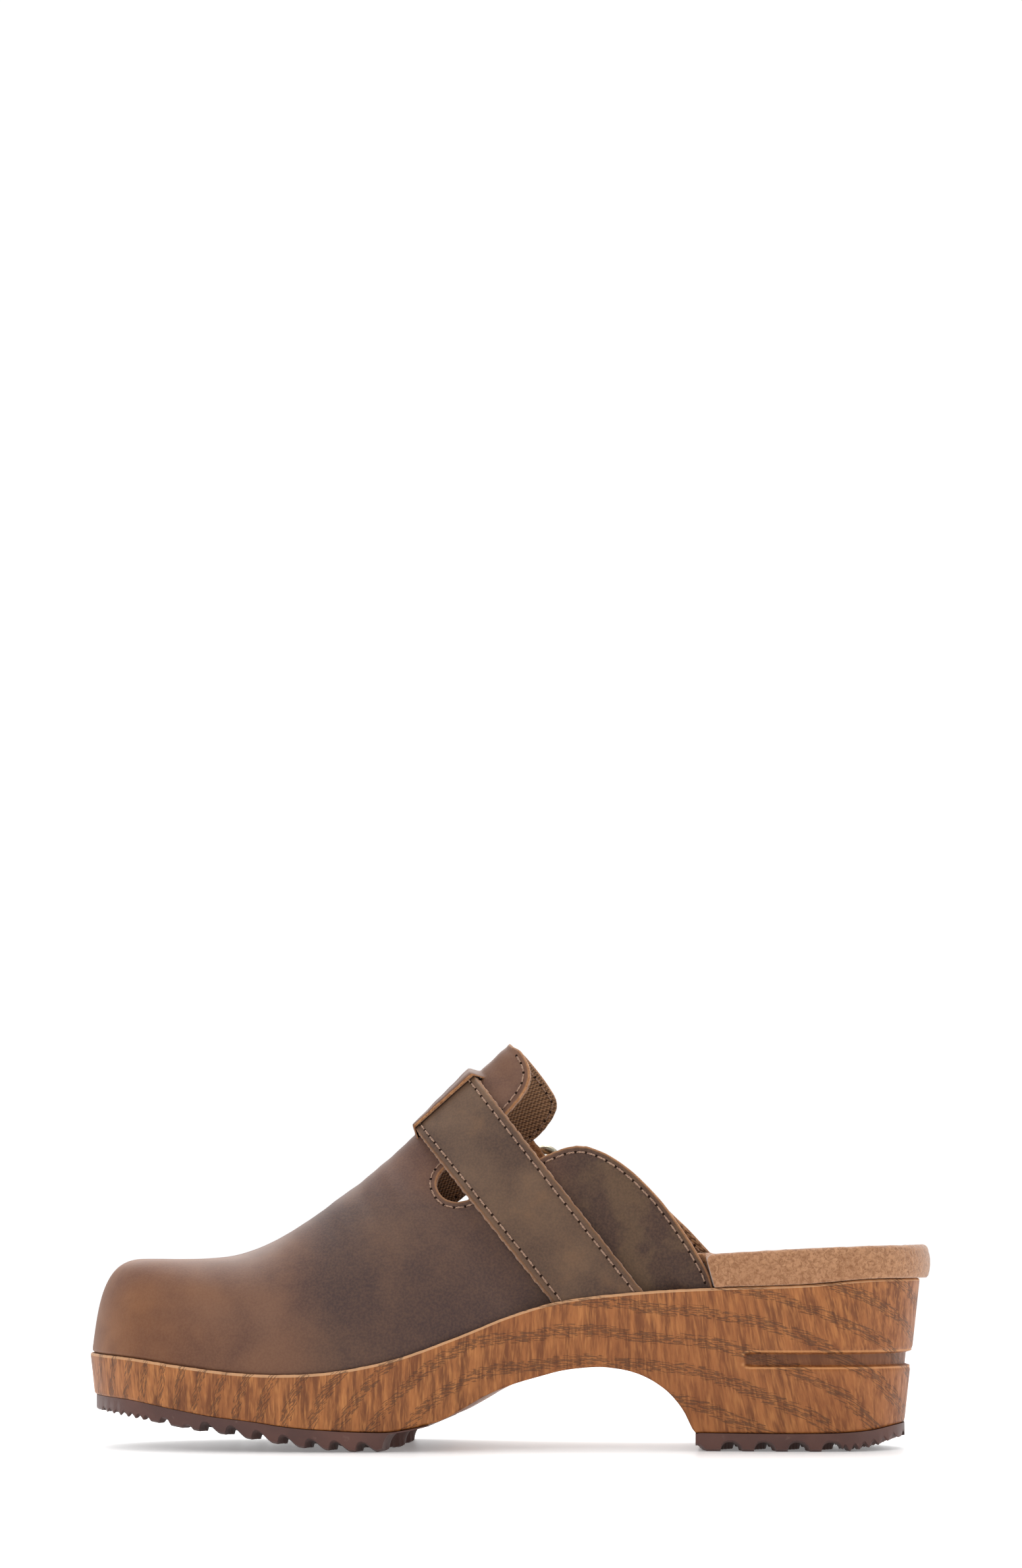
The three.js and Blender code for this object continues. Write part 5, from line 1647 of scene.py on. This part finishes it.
def build_frame():
    """U-shaped frame of rounded square wire with a hub at the end of each arm."""
    path = frame_path()
    along = unit(np.gradient(path, axis=0))
    side = np.stack([along[:, 1], -along[:, 0]], -1)
    angles = np.linspace(0, 2 * math.pi, 24, endpoint=False)
    wide = np.sign(np.cos(angles)) * np.abs(np.cos(angles)) ** 0.75 * 1.45
    tall = np.sign(np.sin(angles)) * np.abs(np.sin(angles)) ** 0.75 * FRAME_RIM
    rows = []
    for (x, y), (sx, sy) in zip(path, side):
        rows.append(on_bar(x + sx * wide, y + sy * wide, tall))
    parts = [(np.vstack(rows), tube_faces(len(path), len(angles)))]
    arm = (FRAME_OUTER - FRAME_INNER) / 2
    for sign in (-1, 1):
        parts.append(hub(sign * (FRAME_OUTER - arm) / 2, arm))
    points, faces = join(parts)
    piece = make_mesh("buckle_frame_metal", points, faces, [METAL])
    crisp(piece)
    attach(piece, "buckle")
    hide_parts("buckle_frame")


def build_bar():
    """Pin through the hubs, with eased ends."""
    length = FRAME_OUTER / 2 + 0.2
    points, faces = turned([(0.001, -length), (0.8, -length), (BAR_RADIUS, -length + 0.3),
                            (BAR_RADIUS, length - 0.3), (0.8, length), (0.001, length)], closed=False)
    bar = make_mesh("buckle_bar_pin", points, faces, [METAL])
    crisp(bar)
    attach(bar, "buckle")
    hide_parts("buckle_bar")


def turned(profile, closed, sides=28):
    """A solid turned about the bar from (radius, place along the bar) pairs."""
    angles = np.linspace(0, 2 * math.pi, sides, endpoint=False)
    rows = [on_bar(radius * np.cos(angles), place, radius * np.sin(angles))
            for radius, place in profile]
    faces = []
    last = len(profile) if closed else len(profile) - 1
    for r in range(last):
        s = (r + 1) % len(profile)
        for i in range(sides):
            n = (i + 1) % sides
            faces.append((r * sides + i, s * sides + i, s * sides + n, r * sides + n))
    if not closed:
        faces.append(tuple(range(sides)))
        faces.append(tuple((len(profile) - 1) * sides + i for i in range(sides))[::-1])
    return np.vstack(rows), faces


def build_prong():
    """Eye round the bar and a tapering tongue whose tip rests on the front rim."""
    over = FRAME_RIM + GAP
    line = np.array([(1.6, 0.2), (4, 0.75), (8, 1.15), (12, 1.3), (16, 1.45), (18.5, 1.85),
                     (20.5, over + 0.75), (22.5, over + 0.6), (23.4, over + 0.45)])
    path = spline(line, 6)
    wide = np.interp(path[:, 0], [1.6, 18, 22.6, 23.4], [1.1, 1.05, 0.85, 0.35])
    tall = np.interp(path[:, 0], [1.6, 18, 22.6, 23.4], [0.95, 0.75, 0.6, 0.3])
    along = unit(np.gradient(path, axis=0))
    side = np.stack([-along[:, 1], along[:, 0]], -1)
    angles = np.linspace(0, 2 * math.pi, 18, endpoint=False)
    rows = []
    for (x, z), (sx, sz), w, t in zip(path, side, wide, tall):
        lift = np.sign(np.sin(angles)) * np.abs(np.sin(angles)) ** 0.8 * t
        rows.append(on_bar(x + sx * lift, np.cos(angles) * w, z + sz * lift))
    faces = [face[::-1] for face in tube_faces(len(path), len(angles))]
    eye = turned([(BAR_RADIUS + 0.2, -0.8), (1.6, -1.1), (2.1, -1.05), (2.3, -0.7), (2.3, 0.7),
                  (2.1, 1.05), (1.6, 1.1), (BAR_RADIUS + 0.2, 0.8)], closed=True)
    points, faces = join([(np.vstack(rows), faces), eye])
    piece = make_mesh("buckle_prong_metal", points, faces, [METAL])
    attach(piece, "prong")
    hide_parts("buckle_prong")


# ------------------------------------------------------------------ inner layers that CAD shows

def dress_inner_layers():
    """Materials for the CAD nodes that keep their shape."""
    stuffs = {
        "insole_board": layered_material("insole_fibre", (120, 98, 70), (176, 150, 116), 700),
        "footbed_base": layered_material("footbed_cork", (110, 72, 42), (178, 128, 82), 420),
        "footbed_foam": layered_material("footbed_foam", (206, 196, 172), (226, 218, 198), 1200),
        "toe_puff": layered_material("stiffener_felt", (186, 172, 142), (214, 202, 176), 900),
    }
    for node, material in stuffs.items():
        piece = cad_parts[node]
        piece.data.materials.clear()
        piece.data.materials.append(material)


# ------------------------------------------------------------------ camera, light and floor

CAMERA_LENS = 89.9
CAMERA_AZIMUTH = 5.0
CAMERA_DISTANCE = 1.2
CAMERA_HEIGHT = 0.06
AIM_HEIGHT = 0.2016
AIM_X = 0.0008
FLOOR_HALF = 6000
FLOOR_DEPTH = -0.05


def aim(thing, target):
    """Turns a camera or a lamp to look at a point."""
    direction = Vector(target) - thing.location
    thing.rotation_euler = direction.to_track_quat("-Z", "Y").to_euler()


def build_camera():
    camera = bpy.data.cameras.new("camera")
    camera.lens = CAMERA_LENS
    camera.sensor_width = 36
    camera.clip_end = 20
    viewer = bpy.data.objects.new("camera", camera)
    angle = math.radians(CAMERA_AZIMUTH)
    viewer.location = (CAMERA_DISTANCE * math.sin(angle), -CAMERA_DISTANCE * math.cos(angle),
                       CAMERA_HEIGHT)
    aim(viewer, (AIM_X, 0, AIM_HEIGHT))
    bpy.context.scene.collection.objects.link(viewer)
    bpy.context.scene.camera = viewer


def area_light(name, place, target, size, power):
    light = bpy.data.lights.new(name, "AREA")
    light.shape = "RECTANGLE"
    light.size, light.size_y = size
    light.energy = power
    lamp = bpy.data.objects.new(name, light)
    lamp.location = place
    aim(lamp, target)
    bpy.context.scene.collection.objects.link(lamp)


def build_studio():
    """White surroundings that fade towards the front, four soft lights and a pale floor."""
    world = bpy.data.worlds.new("studio")
    bpy.context.scene.world = world
    world.use_nodes = True
    nodes = world.node_tree.nodes
    links = world.node_tree.links
    place = nodes.new("ShaderNodeTexCoord")
    axes = nodes.new("ShaderNodeSeparateXYZ")
    links.new(place.outputs["Generated"], axes.inputs[0])
    fade = nodes.new("ShaderNodeMapRange")
    links.new(axes.outputs["Y"], fade.inputs["Value"])
    for key, value in (("From Min", -0.5), ("From Max", 0.7), ("To Min", 0.55), ("To Max", 1.02)):
        fade.inputs[key].default_value = value
    nodes["Background"].inputs["Color"].default_value = (1, 1, 1, 1)
    links.new(fade.outputs["Result"], nodes["Background"].inputs["Strength"])
    centre = (0, 0, 0.06)
    area_light("key", (-0.6, -0.9, 0.8), centre, (0.8, 0.6), 4.5)
    area_light("top", (0.0, 0.25, 1.1), centre, (1.2, 0.8), 9)
    area_light("side", (1.0, -0.4, 0.5), centre, (0.5, 0.8), 2.5)
    area_light("behind", (-0.2, 1.0, 0.8), centre, (1.0, 0.8), 5)
    floor_shader = Shader("studio_floor", roughness=0.3, specular=0.2)
    floor_shader.surface.inputs["Emission Color"].default_value = (1, 1, 1, 1)
    floor_shader.surface.inputs["Emission Strength"].default_value = 0.2
    tone = floor_shader.noise(floor_shader.mapped(3), 1.0)
    pale = floor_shader.mix(tone, (0.93, 0.93, 0.93, 1), (0.95, 0.95, 0.95, 1))
    corners = ((-1, -1), (1, -1), (1, 1), (-1, 1))
    points = [(x * FLOOR_HALF, y * FLOOR_HALF, FLOOR_DEPTH) for x, y in corners]
    floor = make_mesh("studio_floor", points, [(0, 1, 2, 3)], [floor_shader.finish(pale)], smooth=False)
    bpy.context.scene.view_settings.view_transform = "Standard"


build_camera()
build_studio()
build_sole()
build_treads()
build_footbed()
build_upper()
build_lining()
build_strap()
build_stitching()
build_chape()
build_frame()
build_bar()
build_prong()
dress_inner_layers()
